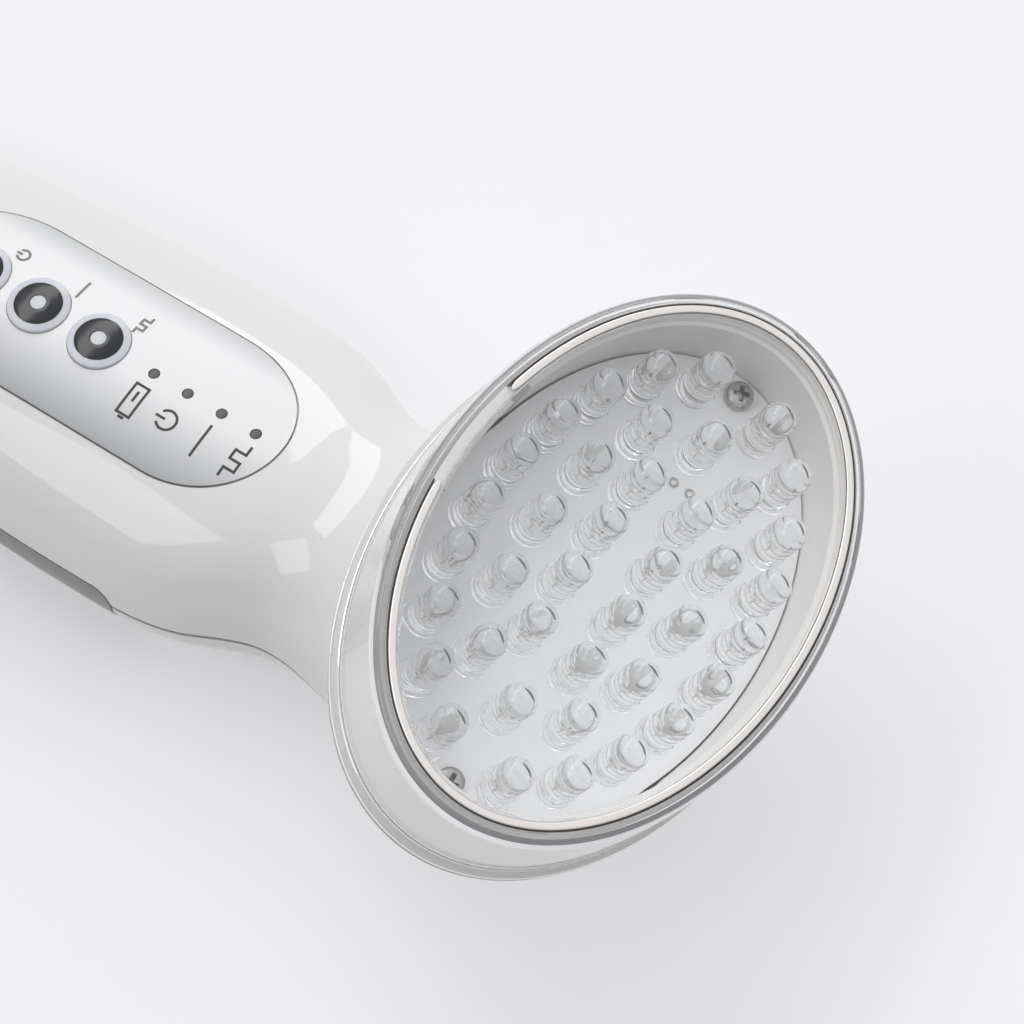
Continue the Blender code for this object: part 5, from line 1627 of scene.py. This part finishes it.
class LIGHTDEVICE_OT_stage(bpy.types.Operator):
    """Make the pale floor, the soft lamps, the surround and the camera"""

    bl_idname = "light_device.stage"
    bl_label = "Stage"

    def execute(self, context):
        scene = context.scene
        settings = scene.light_device_stage
        scene.view_settings.view_transform = "Standard"
        self.floor(settings)
        self.surround(scene, settings)
        self.lamp(
            "main_lamp", settings.main_glow,
            way=(-0.46, 0.42, 0.78), along=(0.17, 1.05, -0.47), width=0.26, height=1.4,
        )
        self.lamp(
            "fill_lamp", settings.fill_glow,
            way=(-0.36, -0.57, 0.74), along=(0.15, 0.0, 1.0), width=0.42, height=0.42,
        )
        self.camera(scene, settings)
        return {"FINISHED"}

    def floor(self, settings):
        """A pale floor that shows paler to the camera, to mirrors and through clear pieces."""
        half = 3.0
        thickness = 0.02
        mesh = box_mesh("floor", (-half, -half, -thickness), (half, half, 0.0))
        finish = Finish("floor_pale")
        colour = tuple(settings.floor_colour)
        tone = finish.mixed_colour(finish.noise(3.0), shade(colour, 0.995), shade(colour, 1.005))
        finish.link(tone, finish.shader.inputs["Base Color"])
        finish.set(Roughness=0.9, Specular_IOR_Level=0.1)
        pale = finish.node("ShaderNodeEmission")
        pale.inputs["Color"].default_value = (0.98, 0.98, 1.0, 1.0)
        pale.inputs["Strength"].default_value = 1.0
        share = finish.spread(seen_rays(finish.tree), 0.0, settings.floor_light)
        finish.cover(share, pale.outputs["Emission"])
        mesh.materials.append(finish.material)
        floor = bpy.data.objects.new("floor", mesh)
        bpy.context.scene.collection.objects.link(floor)

    def surround(self, scene, settings):
        """A pale studio that is dimmer towards its low side, and less so to the rays that show it."""
        world = bpy.data.worlds.new("studio")
        world.use_nodes = True
        scene.world = world
        tree = world.node_tree
        background = tree.nodes["Background"]
        background.inputs["Color"].default_value = (0.985, 0.99, 1.0, 1.0)
        place = tree.nodes.new("ShaderNodeTexCoord")
        way = tree.nodes.new("ShaderNodeVectorMath")
        way.operation = "DOT_PRODUCT"
        way.inputs[1].default_value = DIM_SIDE
        tree.links.new(place.outputs["Generated"], way.inputs[0])
        levels = []
        for high, low in ((settings.world_level, settings.dim_level), (SEEN_BRIGHT, SEEN_DIM)):
            level = tree.nodes.new("ShaderNodeMapRange")
            level.interpolation_type = "SMOOTHSTEP"
            level.inputs["From Min"].default_value = DIM_START
            level.inputs["From Max"].default_value = DIM_END
            level.inputs["To Min"].default_value = high
            level.inputs["To Max"].default_value = low
            tree.links.new(way.outputs["Value"], level.inputs["Value"])
            levels.append(level.outputs["Result"])
        strength = tree.nodes.new("ShaderNodeMix")
        tree.links.new(seen_rays(tree), strength.inputs["Factor"])
        tree.links.new(levels[0], strength.inputs[2])
        tree.links.new(levels[1], strength.inputs[3])
        tree.links.new(strength.outputs[0], background.inputs["Strength"])

    def lamp(self, name, glow, way, along, width, height):
        """A soft rectangular lamp that faces the device; its sides are shares of its distance."""
        distance = 5.0
        data = bpy.data.lights.new(name, "AREA")
        data.shape = "RECTANGLE"
        data.size = width * distance
        data.size_y = height * distance
        data.energy = glow * math.pi * data.size * data.size_y
        item = bpy.data.objects.new(name, data)
        back = Vector(way).normalized()
        side = Vector(along).cross(back).normalized()
        turn = Matrix((side, back.cross(side), back)).transposed().to_4x4()
        item.matrix_world = Matrix.Translation(back * distance) @ turn
        bpy.context.scene.collection.objects.link(item)

    def camera(self, scene, settings):
        data = bpy.data.cameras.new("camera")
        data.lens = settings.lens
        data.sensor_width = 36.0
        data.clip_start = 0.01
        item = bpy.data.objects.new("camera", data)
        up = CAMERA_BACK.cross(CAMERA_RIGHT).normalized()
        right = up.cross(CAMERA_BACK)
        turn = Matrix((right, up, CAMERA_BACK)).transposed().to_4x4()
        item.matrix_world = Matrix.Translation(CAMERA_PLACE) @ turn
        scene.collection.objects.link(item)
        scene.camera = item


PIECE_OPERATORS = (
    LIGHTDEVICE_OT_upper_shell,
    LIGHTDEVICE_OT_lower_shell,
    LIGHTDEVICE_OT_seam_lip,
    LIGHTDEVICE_OT_rear_grip,
    LIGHTDEVICE_OT_lens_cap,
    LIGHTDEVICE_OT_front_ring,
    LIGHTDEVICE_OT_lamp_well,
    LIGHTDEVICE_OT_lamp_board,
    LIGHTDEVICE_OT_lamps,
    LIGHTDEVICE_OT_board_screws,
    LIGHTDEVICE_OT_label_plate,
    LIGHTDEVICE_OT_panel_marks,
    LIGHTDEVICE_OT_keys,
    LIGHTDEVICE_OT_lights,
    LIGHTDEVICE_OT_inner_finishes,
    LIGHTDEVICE_OT_stage,
)


class LIGHTDEVICE_PT_pieces(bpy.types.Panel):
    bl_idname = "LIGHTDEVICE_PT_pieces"
    bl_label = "Light Therapy Device"
    bl_space_type = "VIEW_3D"
    bl_region_type = "UI"
    bl_category = "Light Device"

    def draw(self, context):
        layout = self.layout
        for operator in PIECE_OPERATORS:
            layout.operator(operator.bl_idname)
        for name in PROPERTY_GROUPS:
            box = layout.box()
            group = getattr(context.scene, name)
            for key in group.bl_rna.properties.keys():
                if key not in ("rna_type", "name"):
                    box.prop(group, key)


PROPERTY_GROUPS = {
    "light_device_head": HeadSizes,
    "light_device_handle": HandleSizes,
    "light_device_colours": FinishColours,
    "light_device_stage": StageSettings,
}
CLASSES = (*PROPERTY_GROUPS.values(), *PIECE_OPERATORS, LIGHTDEVICE_PT_pieces)


def register():
    for entry in CLASSES:
        bpy.utils.register_class(entry)
    for name, group in PROPERTY_GROUPS.items():
        setattr(bpy.types.Scene, name, bpy.props.PointerProperty(type=group))


def unregister():
    for name in PROPERTY_GROUPS:
        delattr(bpy.types.Scene, name)
    for entry in reversed(CLASSES):
        bpy.utils.unregister_class(entry)


def main():
    register()
    for item in list(bpy.data.objects):
        if item.type in ("LIGHT", "CAMERA"):
            bpy.data.objects.remove(item, do_unlink=True)
    bpy.ops.light_device.upper_shell()
    bpy.ops.light_device.lower_shell()
    bpy.ops.light_device.seam_lip()
    bpy.ops.light_device.rear_grip()
    bpy.ops.light_device.lens_cap()
    bpy.ops.light_device.front_ring()
    bpy.ops.light_device.lamp_well()
    bpy.ops.light_device.lamp_board()
    bpy.ops.light_device.lamps()
    bpy.ops.light_device.board_screws()
    bpy.ops.light_device.label_plate()
    bpy.ops.light_device.panel_marks()
    bpy.ops.light_device.keys()
    bpy.ops.light_device.lights()
    bpy.ops.light_device.inner_finishes()
    bpy.ops.light_device.stage()


if __name__ == "__main__":
    main()
